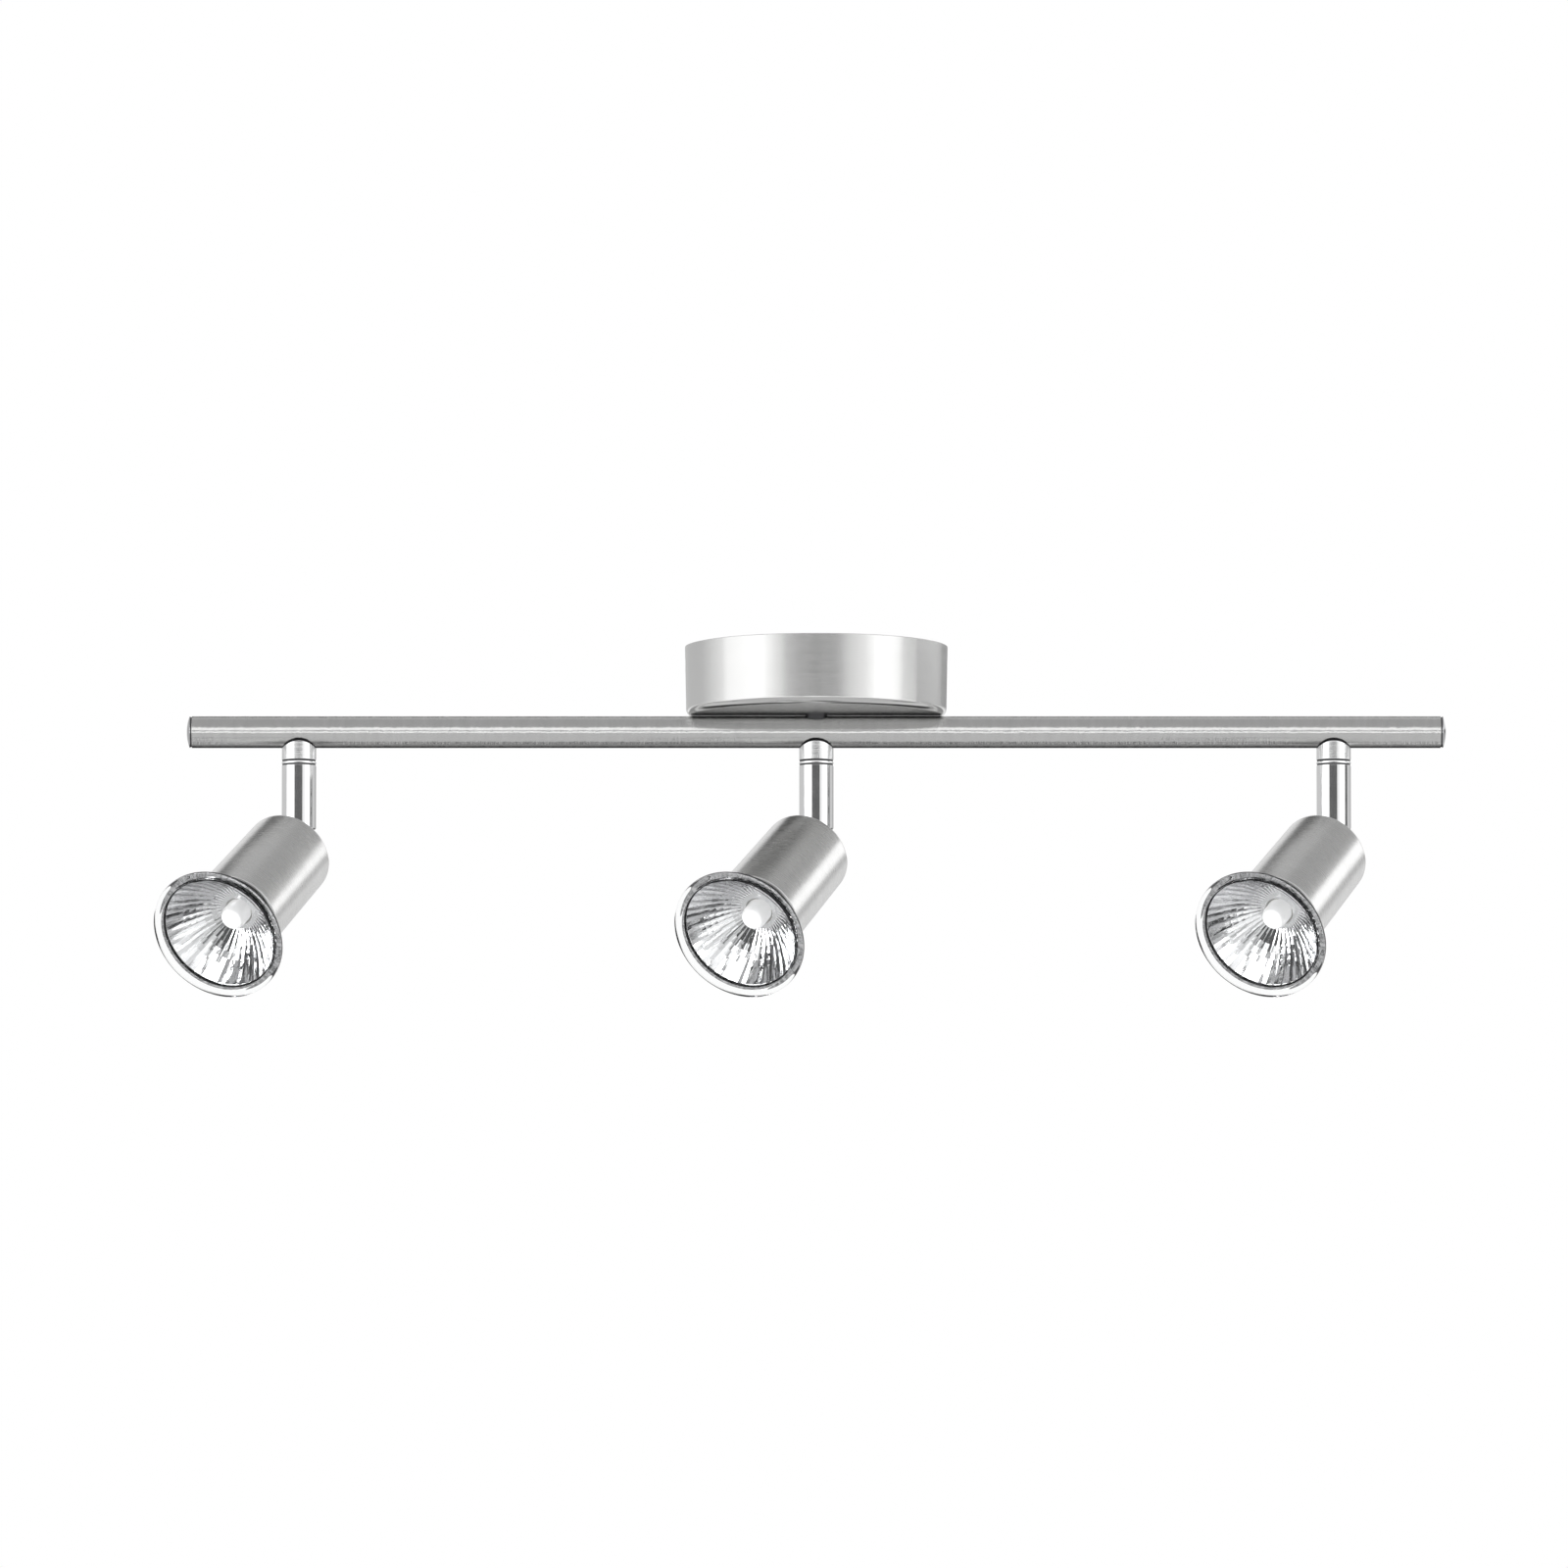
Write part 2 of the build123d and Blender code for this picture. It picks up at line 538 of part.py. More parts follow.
def holder_bracket():
    """Strip clamped by the shank nut, with two legs and outward feet under the lampholder."""
    half = HOLDER_STRIP_WIDTH / 2
    leg_outer = holder_screw_y - HOLDER_FOOT / 2 + HOLDER_LEG
    strip = block((-half, half), (-leg_outer, leg_outer), (wall_inside, wall_inside + HOLDER_LEG))
    for side in (-1, 1):
        leg = sorted((side * (leg_outer - HOLDER_LEG), side * leg_outer))
        foot = sorted((side * (leg_outer - HOLDER_LEG), side * (holder_screw_y + HOLDER_FOOT / 2)))
        strip += block((-half, half), leg, (wall_inside, holder_rear))
        strip += block((-half, half), foot, (holder_rear - HOLDER_LEG, holder_rear))
        bore = cylinder(HOLDER_SCREW_DIAMETER / 2 + CLOSE_FIT, holder_rear - 3, holder_rear + 1)
        strip -= Pos(0, side * holder_screw_y, 0) * bore
    return strip - cylinder(SHANK_DIAMETER / 2 + HOLE_FIT, wall_inside - 1, wall_inside + 2)


def arc_slot(width, low, high):
    """Two curved slots on the pin circle, from the locked place to the entry."""
    path = CenterArc((0, 0), PIN_SPACING / 2, 0, TWIST_ANGLE)
    slot = Pos(0, 0, low) * extrude(SlotArc(path, width), high - low)
    return slot + Rot(0, 0, 180) * slot


def lampholder():
    """Ceramic disc with keyhole slots in its front plate and pockets for the pin heads behind."""
    body = cylinder(holder_radius, holder_rear, holder_front)
    plate_rear = holder_front - HOLDER_PLATE
    pocket_rear = plate_rear - PIN_HEAD_HEIGHT - 3 * PIN_FIT
    body -= arc_slot(PIN_NECK_DIAMETER + 2 * PIN_FIT, plate_rear, holder_front + 1)
    body -= arc_slot(PIN_HEAD_DIAMETER + 2 * PIN_FIT, pocket_rear, plate_rear)
    entry = Pos(PIN_SPACING / 2, 0, 0) * cylinder(PIN_HEAD_DIAMETER / 2 + PIN_FIT, plate_rear, holder_front + 1)
    for turn in (TWIST_ANGLE, TWIST_ANGLE + 180):
        body -= Rot(0, 0, turn) * entry
    bore = cylinder(HOLDER_SCREW_DIAMETER / 2 + CLOSE_FIT, holder_rear - 1, holder_front + 1)
    bore += cylinder(HOLDER_SCREW_HEAD / 2 + HOLE_FIT, holder_front - HOLDER_PLATE, holder_front + 1)
    for side in (-1, 1):
        body -= Pos(0, side * holder_screw_y, 0) * bore
    return body


def head_fasteners():
    """Shank nut and the two lampholder screws."""
    nut_low = wall_inside + HOLDER_LEG
    nut = hexagon(SHANK_NUT_WIDTH, nut_low, nut_low + SHANK_NUT_HEIGHT)
    nut -= cylinder(SHANK_DIAMETER / 2 + CLOSE_FIT, nut_low - 1, shank_end)
    seat = holder_front - HOLDER_PLATE
    length = seat - holder_rear + 2 * HOLDER_LEG
    sizes = (HOLDER_SCREW_DIAMETER, HOLDER_SCREW_HEAD, HOLDER_PLATE / 2)
    screw = Pos(0, 0, seat) * Rot(180, 0, 0) * headed_screw(*sizes, length)
    return group(nut, *[Pos(0, side * holder_screw_y, 0) * screw for side in (-1, 1)])


def head_leads():
    """Two leads from the shank's bore to the back of the lampholder."""
    leads = []
    middle = (shank_end + holder_rear) / 2 + HEAD_LEAD_DIAMETER / 2
    for side in (-1, 1):
        near = side * (HEAD_LEAD_DIAMETER / 2 + HOLE_FIT)
        far = side * PIN_SPACING / 2
        points = [(SHANK_BORE_OFFSET, near, rear_face), (SHANK_BORE_OFFSET, near, middle)]
        points += [(0, far, middle), (0, far, holder_rear)]
        path = FilletPolyline(*points, radius=HEAD_LEAD_DIAMETER)
        section = Plane(origin=path @ 0, z_dir=path % 0) * Circle(HEAD_LEAD_DIAMETER / 2)
        leads.append(sweep(section, path=path))
    return group(*leads)


rim_radius = LAMP_DIAMETER / 2
rim_rear = lamp_front - LAMP_RIM
bowl_mouth = rim_radius - BOWL_STEP
bowl_at_shell = shell_radius_at(shell_front) - SHELL_WALL - BOWL_CLEARANCE
bowl_start = rim_rear - BOWL_SEAT
bowl_rate = (bowl_mouth**2 - bowl_at_shell**2) / (bowl_start - shell_front)
neck_front = bowl_start - (bowl_mouth**2 - NECK_RADIUS**2) / bowl_rate
neck_rear = neck_front - NECK_LENGTH
cover_rear = lamp_front - COVER_RECESS - COVER_THICKNESS


def bowl_radius_at(z):
    """Outer radius of the paraboloid bowl at a distance from the pivot."""
    return math.sqrt(bowl_mouth**2 - bowl_rate * (bowl_start - z))


def lamp_cover_glass():
    """Clear front glass, recessed inside a thicker rounded flange."""
    inner = rim_radius - LAMP_RIM_WIDTH
    points = [(0, cover_rear), (inner, cover_rear), (inner, rim_rear), (rim_radius, rim_rear)]
    points += [(rim_radius, lamp_front), (inner, lamp_front), (inner, lamp_front - COVER_RECESS)]
    points.append((0, lamp_front - COVER_RECESS))
    rounds = [(points[3], LAMP_RIM_ROUND), (points[4], LAMP_RIM_ROUND)]
    return turned(points, rounds)


def lamp_reflector():
    """Glass bowl whose inside is cut in flat facets, with a neck behind."""
    steps = [neck_front + (bowl_start - neck_front) * i / FACET_RINGS for i in range(FACET_RINGS + 1)]
    seat_radius = bowl_mouth + BOWL_WALL / 2
    points = [(0, neck_rear), (NECK_RADIUS, neck_rear)]
    points += [(bowl_radius_at(z), z) for z in steps]
    points += [(seat_radius, bowl_start), (seat_radius, rim_rear), (0, rim_rear)]
    body = turned(points)
    inside = [(bowl_radius_at(z) - BOWL_WALL, z + BOWL_WALL / 2) for z in steps]
    inside.append((bowl_mouth - BOWL_WALL / 2, rim_rear))
    rings = [Pos(0, 0, z) * RegularPolygon(radius, FACETS) for radius, z in inside]
    for low, high in zip(rings, rings[1:]):
        body -= loft([low, high], ruled=True)
    return body - cylinder(NECK_BORE, neck_rear - 1, inside[0][1] + 0.01)


def lamp_burner():
    """Frosted capsule with a flat pinch behind it."""
    radius = BURNER_DIAMETER / 2
    tip = lamp_front - BURNER_DEPTH
    capsule = cylinder(radius, neck_front, tip - radius / 2)
    capsule += Pos(0, 0, tip - radius / 2) * scale(Sphere(radius), by=(1, 1, 0.5))
    half = PINCH_WIDTH / 2
    thick = PINCH_THICKNESS / 2
    return capsule + block((-half, half), (-thick, thick), (neck_rear, neck_front))


def lamp_base():
    """Ceramic base: a socket round the neck in front and two pin holes behind."""
    outer = NECK_RADIUS + BASE_WALL
    end = (outer, base_end)
    points = [(0, base_end), end, (outer, neck_rear + BASE_SOCKET), (NECK_RADIUS + CLOSE_FIT, neck_rear + BASE_SOCKET)]
    points += [(NECK_RADIUS + CLOSE_FIT, neck_rear), (0, neck_rear)]
    body = turned(points, [(end, BASE_CHAMFER)])
    hole = cylinder(PIN_NECK_DIAMETER / 2 + CLOSE_FIT, base_end - 1, base_end + PIN_ROOT)
    for side in (-1, 1):
        body -= Pos(side * PIN_SPACING / 2, 0, 0) * hole
    return body


def lamp_pins():
    """Two mushroom pins rooted in the base."""
    head_front = holder_front - HOLDER_PLATE - PIN_FIT
    pin = cylinder(PIN_NECK_DIAMETER / 2, head_front, base_end + PIN_ROOT)
    pin += cylinder(PIN_HEAD_DIAMETER / 2, head_front - PIN_HEAD_HEIGHT, head_front)
    return group(*[Pos(side * PIN_SPACING / 2, 0, 0) * pin for side in (-1, 1)])


pan = math.radians(HEAD_PAN)
tilt = math.radians(HEAD_TILT)
facing = Vector(-math.sin(pan), -math.cos(pan), 0)
pivot_axis = Vector(math.cos(pan), -math.sin(pan), 0)
lamp_axis = facing * math.cos(tilt) + Vector(0, 0, -math.sin(tilt))


def stem_frame(x):
    """Place of the tilt pivot, with X along the pivot and Z up."""
    return Plane(origin=(x, 0, pivot_z), x_dir=pivot_axis, z_dir=(0, 0, 1)).location


def head_frame(x):
    """Place of the tilt pivot, with X along the pivot and Z along the lamp."""
    return Plane(origin=(x, 0, pivot_z), x_dir=pivot_axis, z_dir=lamp_axis).location


def fixed_nodes():
    """Every node that stays with the ceiling."""
    nodes = {
        "canopy": canopy(),
        "mounting_bracket": mounting_bracket(),
        "canopy_screws": canopy_screws(),
        "bracket_screws": bracket_screws(),
        "terminal_block": terminal_block(),
        "terminal_screws": terminal_screws(),
        "bar_tube": bar_tube(),
        "bar_stub": bar_stub(),
        "stub_nut_and_washer": stub_nut_and_washer(),
        "end_cap_left": end_cap(-1),
        "end_cap_right": end_cap(1),
        "lamp_leads": lamp_leads(),
    }
    places = [Pos(x, 0, 0) for x in STATIONS.values()]
    nodes["swivel_studs"] = group(*[place * swivel_stud() for place in places])
    nodes["swivel_rings"] = group(*[place * swivel_ring() for place in places])
    nodes["stud_nuts_and_washers"] = group(*[place * stud_nut_and_washer() for place in places])
    for name, x in STATIONS.items():
        nodes["collar_" + name] = collar(x)
    return nodes


def moving_nodes():
    """Every node of the three stems, heads and lamps."""
    in_stem = {"swivel_fork": swivel_fork(), "pivot_fasteners": pivot_fasteners()}
    in_head = {
        "swivel_tongue": swivel_tongue(),
        "head_shell": head_shell(),
        "holder_bracket": holder_bracket(),
        "lampholder": lampholder(),
        "head_fasteners": head_fasteners(),
        "head_leads": head_leads(),
        "lamp_base": lamp_base(),
        "lamp_pins": lamp_pins(),
        "lamp_reflector": lamp_reflector(),
        "lamp_cover_glass": lamp_cover_glass(),
        "lamp_burner": lamp_burner(),
    }
    stem_tube = stem()
    nodes = {}
    for name, x in STATIONS.items():
        nodes["stem_" + name] = Pos(x, 0, 0) * stem_tube
        for node, shape in in_stem.items():
            nodes[node + "_" + name] = stem_frame(x) * shape
        for node, shape in in_head.items():
            nodes[node + "_" + name] = head_frame(x) * shape
    return nodes


os.makedirs("parts", exist_ok=True)
for node_name, node_shape in {**fixed_nodes(), **moving_nodes()}.items():
    export_step(node_shape, "parts/" + node_name + ".step")
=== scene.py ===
"""Looks of the three-spot ceiling bar: brushed nickel, chrome and reflector lamps under studio light."""

import math

import bmesh
import bpy
from mathutils import Matrix, Vector


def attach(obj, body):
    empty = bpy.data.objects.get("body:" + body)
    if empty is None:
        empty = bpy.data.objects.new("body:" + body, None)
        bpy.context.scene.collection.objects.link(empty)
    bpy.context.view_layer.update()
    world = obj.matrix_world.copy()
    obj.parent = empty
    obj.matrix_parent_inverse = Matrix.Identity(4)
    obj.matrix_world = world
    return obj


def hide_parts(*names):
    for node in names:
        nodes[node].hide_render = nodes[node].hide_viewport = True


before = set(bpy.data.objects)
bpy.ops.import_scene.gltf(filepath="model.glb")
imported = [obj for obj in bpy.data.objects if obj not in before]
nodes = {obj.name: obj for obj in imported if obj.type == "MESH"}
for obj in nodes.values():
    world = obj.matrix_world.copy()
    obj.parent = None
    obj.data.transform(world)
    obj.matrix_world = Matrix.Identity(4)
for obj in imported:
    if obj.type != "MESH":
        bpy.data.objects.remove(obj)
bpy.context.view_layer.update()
scene = bpy.context.scene
scene.view_settings.view_transform = "Standard"

MM = 0.001
SIDES = ("left", "middle", "right")
STATION_X = {"left": -189 * MM, "middle": 0.0, "right": 189 * MM}

# Head pose at rest: where the tilt pivot is and which way the lamp points
PIVOT_Z = -71.95 * MM
HEAD_PAN = math.radians(27.6)
HEAD_TILT = math.radians(32.6)
PIVOT_AXIS = Vector((math.cos(HEAD_PAN), -math.sin(HEAD_PAN), 0))
FACING = Vector((-math.sin(HEAD_PAN), -math.cos(HEAD_PAN), 0))
LAMP_AXIS = FACING * math.cos(HEAD_TILT) - Vector((0, 0, math.sin(HEAD_TILT)))
HEAD_TURN = Matrix((PIVOT_AXIS, LAMP_AXIS.cross(PIVOT_AXIS), LAMP_AXIS)).transposed()


def head_place(side):
    """Matrix from a head's own frame, Z along the lamp from the pivot, to the object's frame."""
    return Matrix.Translation((STATION_X[side], 0, PIVOT_Z)) @ HEAD_TURN.to_4x4()


# Sockets of the colour Mix node, by number because several share a name
MIX_FACTOR = 0
MIX_LOW = 6
MIX_HIGH = 7
MIX_COLOUR = 2
WHITE = (1, 1, 1, 1)


class Wire:
    """A node's output that can be added and scaled; each operation adds one Math node."""

    def __init__(self, finish, socket):
        self.finish = finish
        self.socket = socket

    def combine(self, operation, first, second):
        return self.finish.node("ShaderNodeMath", {"operation": operation}, {0: first, 1: second})

    def __add__(self, other):
        return self.combine("ADD", self, other)

    def __radd__(self, other):
        return self.combine("ADD", other, self)

    def __rmul__(self, other):
        return self.combine("MULTIPLY", other, self)


class Finish:
    """A node tree under construction: a material, or the world."""

    def __init__(self, owner):
        owner.use_nodes = True
        self.owner = owner
        self.tree = owner.node_tree
        self.tree.nodes.clear()

    def node(self, kind, settings=None, inputs=None, output=0):
        """Adds a node, with its settings first and then its sockets' values or links."""
        node = self.tree.nodes.new(kind)
        for name, value in (settings or {}).items():
            setattr(node, name, value)
        for name, value in (inputs or {}).items():
            if isinstance(value, Wire):
                self.tree.links.new(value.socket, node.inputs[name])
            else:
                node.inputs[name].default_value = value
        return Wire(self, node.outputs[output]) if node.outputs else None

    def grain(self, size, turn=(0, 0, 0), detail=3.0, rough=0.6):
        """Noise whose features are size metres along the turned axes."""
        place = self.node("ShaderNodeTexCoord", output="Object")
        inputs = {"Vector": place, "Rotation": turn, "Scale": size}
        place = self.node("ShaderNodeMapping", {"vector_type": "TEXTURE"}, inputs)
        inputs = {"Vector": place, "Scale": 1.0, "Detail": detail, "Roughness": rough}
        return self.node("ShaderNodeTexNoise", {}, inputs, "Fac")

    def tint(self, value, low, high):
        """A colour between two, by a value."""
        inputs = {MIX_FACTOR: value, MIX_LOW: (*low, 1), MIX_HIGH: (*high, 1)}
        return self.node("ShaderNodeMix", {"data_type": "RGBA"}, inputs, MIX_COLOUR)

    def bump(self, height, strength, distance):
        inputs = {"Height": height, "Strength": strength, "Distance": distance}
        return self.node("ShaderNodeBump", {}, inputs)

    def glow(self, kind, strength):
        """White light: an emission for a surface, a background for the world."""
        return self.node(kind, {}, {"Color": WHITE, "Strength": strength})

    def mix(self, factor, first, second):
        """The first shader where the factor is 0 and the second where it is 1."""
        return self.node("ShaderNodeMixShader", {}, {0: factor, 1: first, 2: second})

    def close(self, shader):
        """Ends a material's tree and gives the material."""
        self.node("ShaderNodeOutputMaterial", {}, {"Surface": shader})
        return self.owner

    def surface(self, **inputs):
        """Closes the tree with a Principled surface."""
        names = {name.replace("_", " "): value for name, value in inputs.items()}
        return self.close(self.node("ShaderNodeBsdfPrincipled", {}, names))


def material(name):
    return Finish(bpy.data.materials.new(name))


def canopy_nickel():
    """Satin nickel, spun: faint rings round the vertical axis and a soft cloud."""
    look = material("canopy_nickel")
    rings = look.grain(size=(0.02, 0.02, 0.00025))
    cloud = look.grain(size=(0.03, 0.03, 0.02))
    colour = look.tint(cloud, low=(0.635, 0.635, 0.63), high=(0.695, 0.695, 0.69))
    return look.surface(Base_Color=colour, Metallic=1.0, Roughness=0.14 + 0.07 * rings,
                        Normal=look.bump(rings, strength=0.05, distance=0.0001))


def bar_nickel():
    """Ground tube: short grinding marks round the bar, uneven along it."""
    look = material("bar_nickel")
    marks = look.grain(size=(0.0003, 0.02, 0.02), detail=2.0)
    waves = look.grain(size=(0.003, 0.008, 0.008))
    colour = look.tint(waves, low=(0.62, 0.62, 0.615), high=(0.72, 0.72, 0.715))
    return look.surface(Base_Color=colour, Metallic=1.0, Roughness=0.15 + 0.08 * marks,
                        Normal=look.bump(marks + 3.0 * waves, strength=0.22, distance=0.0004))


def shell_nickel():
    """Brushed head shell: fine rings round the lamp's axis."""
    look = material("shell_nickel")
    turn = HEAD_TURN.to_euler()
    rings = look.grain(size=(0.008, 0.008, 0.0003), turn=turn, detail=4.0)
    cloud = look.grain(size=(0.012, 0.012, 0.004), turn=turn)
    colour = look.tint(cloud, low=(0.62, 0.62, 0.615), high=(0.72, 0.72, 0.715))
    return look.surface(Base_Color=colour, Metallic=1.0, Roughness=0.22 + 0.12 * rings,
                        Normal=look.bump(rings + 0.3 * cloud, strength=0.05, distance=0.0002))


def chrome():
    """Polished plate with the faintest buffing haze."""
    look = material("chrome")
    haze = look.grain(size=(0.004, 0.004, 0.006))
    colour = look.tint(haze, low=(0.86, 0.865, 0.87), high=(0.92, 0.92, 0.925))
    return look.surface(Base_Color=colour, Metallic=1.0, Roughness=0.02 + 0.05 * haze)


def collar_chrome():
    """Plate on the collars, softened by fine turning rings."""
    look = material("collar_chrome")
    haze = look.grain(size=(0.003, 0.003, 0.002))
    rings = look.grain(size=(0.02, 0.02, 0.00015))
    colour = look.tint(haze, low=(0.84, 0.845, 0.85), high=(0.9, 0.9, 0.905))
    return look.surface(Base_Color=colour, Metallic=1.0, Roughness=0.04 + 0.06 * haze,
                        Normal=look.bump(rings, strength=0.1, distance=0.0001))


def shaded_cap_chrome():
    """Plate on the bar's end caps: a darker copy of the stems' chrome, painted shade."""
    look = material("shaded_cap_chrome")
    haze = look.grain(size=(0.002, 0.003, 0.003))
    # Base colour far below the stems' chrome: painted shade on the caps
    colour = look.tint(haze, low=(0.42, 0.42, 0.43), high=(0.54, 0.54, 0.55))
    return look.surface(Base_Color=colour, Metallic=1.0, Roughness=0.04 + 0.06 * haze)


def zinc():
    """Dull plated steel with a crystalline cloud."""
    look = material("zinc")
    cloud = look.grain(size=(0.002, 0.002, 0.002), detail=5.0)
    colour = look.tint(cloud, low=(0.45, 0.46, 0.47), high=(0.66, 0.67, 0.68))
    return look.surface(Base_Color=colour, Metallic=1.0, Roughness=0.3 + 0.2 * cloud,
                        Normal=look.bump(cloud, strength=0.1, distance=0.0002))


def brass():
    """Turned brass with fine tool rings."""
    look = material("brass")
    rings = look.grain(size=(0.003, 0.003, 0.0003))
    colour = look.tint(rings, low=(0.62, 0.46, 0.2), high=(0.8, 0.63, 0.32))
    return look.surface(Base_Color=colour, Metallic=1.0, Roughness=0.2 + 0.15 * rings,
                        Normal=look.bump(rings, strength=0.15, distance=0.0001))


def block_plastic():
    """Moulded terminal block with a fine skin."""
    look = material("block_plastic")
    skin = look.grain(size=(0.0006, 0.0006, 0.0006))
    colour = look.tint(skin, low=(0.8, 0.79, 0.76), high=(0.88, 0.87, 0.84))
    return look.surface(Base_Color=colour, Roughness=0.4 + 0.15 * skin,
                        Normal=look.bump(skin, strength=0.15, distance=0.0001))


def sleeve():
    """Woven heat-proof sleeve: a fine cross weave."""
    look = material("sleeve")
    turn = (0, 0, math.radians(45))
    weave = look.grain(size=(0.0006, 0.0003, 0.0003), turn=turn)
    cross = look.grain(size=(0.0003, 0.0006, 0.0003), turn=turn)
    colour = look.tint(weave, low=(0.74, 0.72, 0.66), high=(0.88, 0.87, 0.82))
    return look.surface(Base_Color=colour, Roughness=0.75 + 0.1 * cross,
                        Normal=look.bump(weave + cross, strength=0.4, distance=0.0002))


def ceramic():
    """Unglazed white ceramic with a fine speck."""
    look = material("ceramic")
    speck = look.grain(size=(0.0008, 0.0008, 0.0008), detail=5.0)
    colour = look.tint(speck, low=(0.8, 0.79, 0.75), high=(0.89, 0.88, 0.85))
    return look.surface(Base_Color=colour, Roughness=0.45 + 0.2 * speck,
                        Normal=look.bump(speck, strength=0.2, distance=0.0001))


def clear_glass():
    """Pressed lamp glass, with a very slight ripple."""
    look = material("clear_glass")
    ripple = look.grain(size=(0.006, 0.006, 0.006))
    return look.surface(Base_Color=(0.98, 0.985, 0.985, 1), Roughness=0.01 + 0.02 * ripple,
                        IOR=1.12, Transmission_Weight=1.0,
                        Normal=look.bump(ripple, strength=0.03, distance=0.0005))


def reflector_coat():
    """Vacuum metal on pressed glass: bright, with pin specks."""
    look = material("reflector_coat")
    speck = look.grain(size=(0.0007, 0.0007, 0.0007), detail=4.0)
    streak = look.grain(size=(0.0012, 0.0012, 0.006), turn=HEAD_TURN.to_euler())
    colour = look.tint(speck, low=(0.76, 0.76, 0.77), high=(0.9, 0.9, 0.91))
    return look.surface(Base_Color=colour, Metallic=1.0, Roughness=0.03 + 0.06 * speck,
                        Normal=look.bump(streak + 0.15 * speck, strength=0.06, distance=0.0003))


def burner_painted_glow():
    """Frosted tip of the quartz capsule, white against its reflector; its emission is a painted glow
    that flattens its shading.
    """
    look = material("burner_painted_glow")
    frost = look.grain(size=(0.0005, 0.0005, 0.0005))
    colour = look.tint(frost, low=(0.9, 0.9, 0.9), high=(0.97, 0.97, 0.97))
    # The emission is painted glow, not lamp light: it whitens the tip and flattens its shading
    return look.surface(Base_Color=colour, Roughness=0.35 + 0.2 * frost, Emission_Color=colour,
                        Emission_Strength=0.6, Normal=look.bump(frost, strength=0.1, distance=0.0001))


def capsule_side_painted_glow():
    """Side of the quartz capsule: greyer and glossier than its tip, with a weaker painted glow that
    flattens its shading.
    """
    look = material("capsule_side_painted_glow")
    frost = look.grain(size=(0.0008, 0.0008, 0.002))
    colour = look.tint(frost, low=(0.74, 0.74, 0.74), high=(0.88, 0.88, 0.88))
    # The emission is painted glow that lifts the side towards white
    return look.surface(Base_Color=colour, Roughness=0.12 + 0.15 * frost, Emission_Color=colour,
                        Emission_Strength=0.45, Normal=look.bump(frost, strength=0.1, distance=0.0001))


def bowl_back():
    """Back of the bowl: dark mirrored glass."""
    look = material("bowl_back")
    streak = look.grain(size=(0.003, 0.003, 0.006))
    colour = look.tint(streak, low=(0.66, 0.66, 0.67), high=(0.8, 0.8, 0.81))
    return look.surface(Base_Color=colour, Metallic=1.0, Roughness=0.04 + 0.06 * streak)


def stub_painted_shade():
    """Steel stub between canopy and bar, near-black: painted shade, so it reads as the shadow line under
    the canopy.
    """
    look = material("stub_painted_shade")
    rings = look.grain(size=(0.004, 0.004, 0.0004))
    # Near-black colour is painted shade, not the steel's own
    colour = look.tint(rings, low=(0.05, 0.05, 0.052), high=(0.1, 0.1, 0.105))
    return look.surface(Base_Color=colour, Metallic=1.0, Roughness=0.3 + 0.2 * rings)


def black_seal_and_painted_shade():
    """Near-black: the cement of the lamp seals, and painted shade where parts meet: the swivel washers,
    the bands at caps and collars, and the bowls' seats.
    """
    look = material("black_seal_and_painted_shade")
    grit = look.grain(size=(0.0005, 0.0005, 0.0005))
    # Also used as painted shade in the gaps between parts
    colour = look.tint(grit, low=(0.012, 0.012, 0.013), high=(0.03, 0.03, 0.032))
    return look.surface(Base_Color=colour, Roughness=0.4 + 0.2 * grit, Specular_IOR_Level=0.15,
                        Normal=look.bump(grit, strength=0.2, distance=0.0001))


FINISHES = {
    "bowl_back": bowl_back(),
    "capsule_side": capsule_side_painted_glow(),
    "seal": black_seal_and_painted_shade(),
    "canopy": canopy_nickel(),
    "bar_tube": bar_nickel(),
    "bar_stub": stub_painted_shade(),
    "collar": collar_chrome(),
    "end_cap": shaded_cap_chrome(),
    "head_shell": shell_nickel(),
    "lamp_cover_glass": clear_glass(),
    "lamp_reflector": reflector_coat(),
    "lamp_burner": burner_painted_glow(),
    "terminal_block": block_plastic(),
}
for finish, names in (
    (chrome(), ("swivel_rings", "stem", "swivel_fork", "swivel_tongue")),
    (zinc(), ("mounting_bracket", "canopy_screws", "bracket_screws", "stub_nut_and_washer",
              "stud_nuts_and_washers", "pivot_fasteners", "holder_bracket", "head_fasteners",
              "lamp_pins")),
    (brass(), ("swivel_studs", "terminal_screws")),
    (sleeve(), ("lamp_leads", "head_leads")),
    (ceramic(), ("lampholder", "lamp_base")),
):
    for name in names:
        FINISHES[name] = finish


def plain_name(node):
    """A node's name without its side."""
    for side in SIDES:
        if node.endswith("_" + side):
            return node[: -len(side) - 1]
    return node


for node_name, node_object in nodes.items():
    node_object.data.materials.clear()
    node_object.data.materials.append(FINISHES[plain_name(node_name)])


# Shapes of the visible pieces, in millimetres. Canopy, from the ceiling down
CANOPY_RADIUS = 48.0
CANOPY_FOOT_RADIUS = 47.5
CANOPY_HEIGHT = 25.3
CANOPY_WALL = 1.0
CANOPY_EDGE = 2.4
CANOPY_RIM = 0.2
STUB_HOLE = 4.1
SIDE_HOLE = 2.1
SIDE_HOLE_Z = -6.0

# Bar and its end caps, along X
BAR_RADIUS = 5.85
BAR_BORE = 4.85
BAR_HALF = 228.2
BAR_Z = -31.25
BAR_ROUND = 0.2
CAP_EDGE = 5.75
CAP_NECK = 5.45
CAP_RIM = 0.8
CAP_HEIGHT = 1.8
CAP_PLUG = 8.0
CAP_BACK_ROUND = 0.1
CAP_FRONT_ROUND = 0.2
PLUG_GAP = 0.05
DOME_RADII = (0, 1.2, 2.4, 3.6, 4.8, CAP_EDGE)
# Width of the black band at each cap's inner end, painted shade in the gap
CAP_SHADE_LINE = 0.4
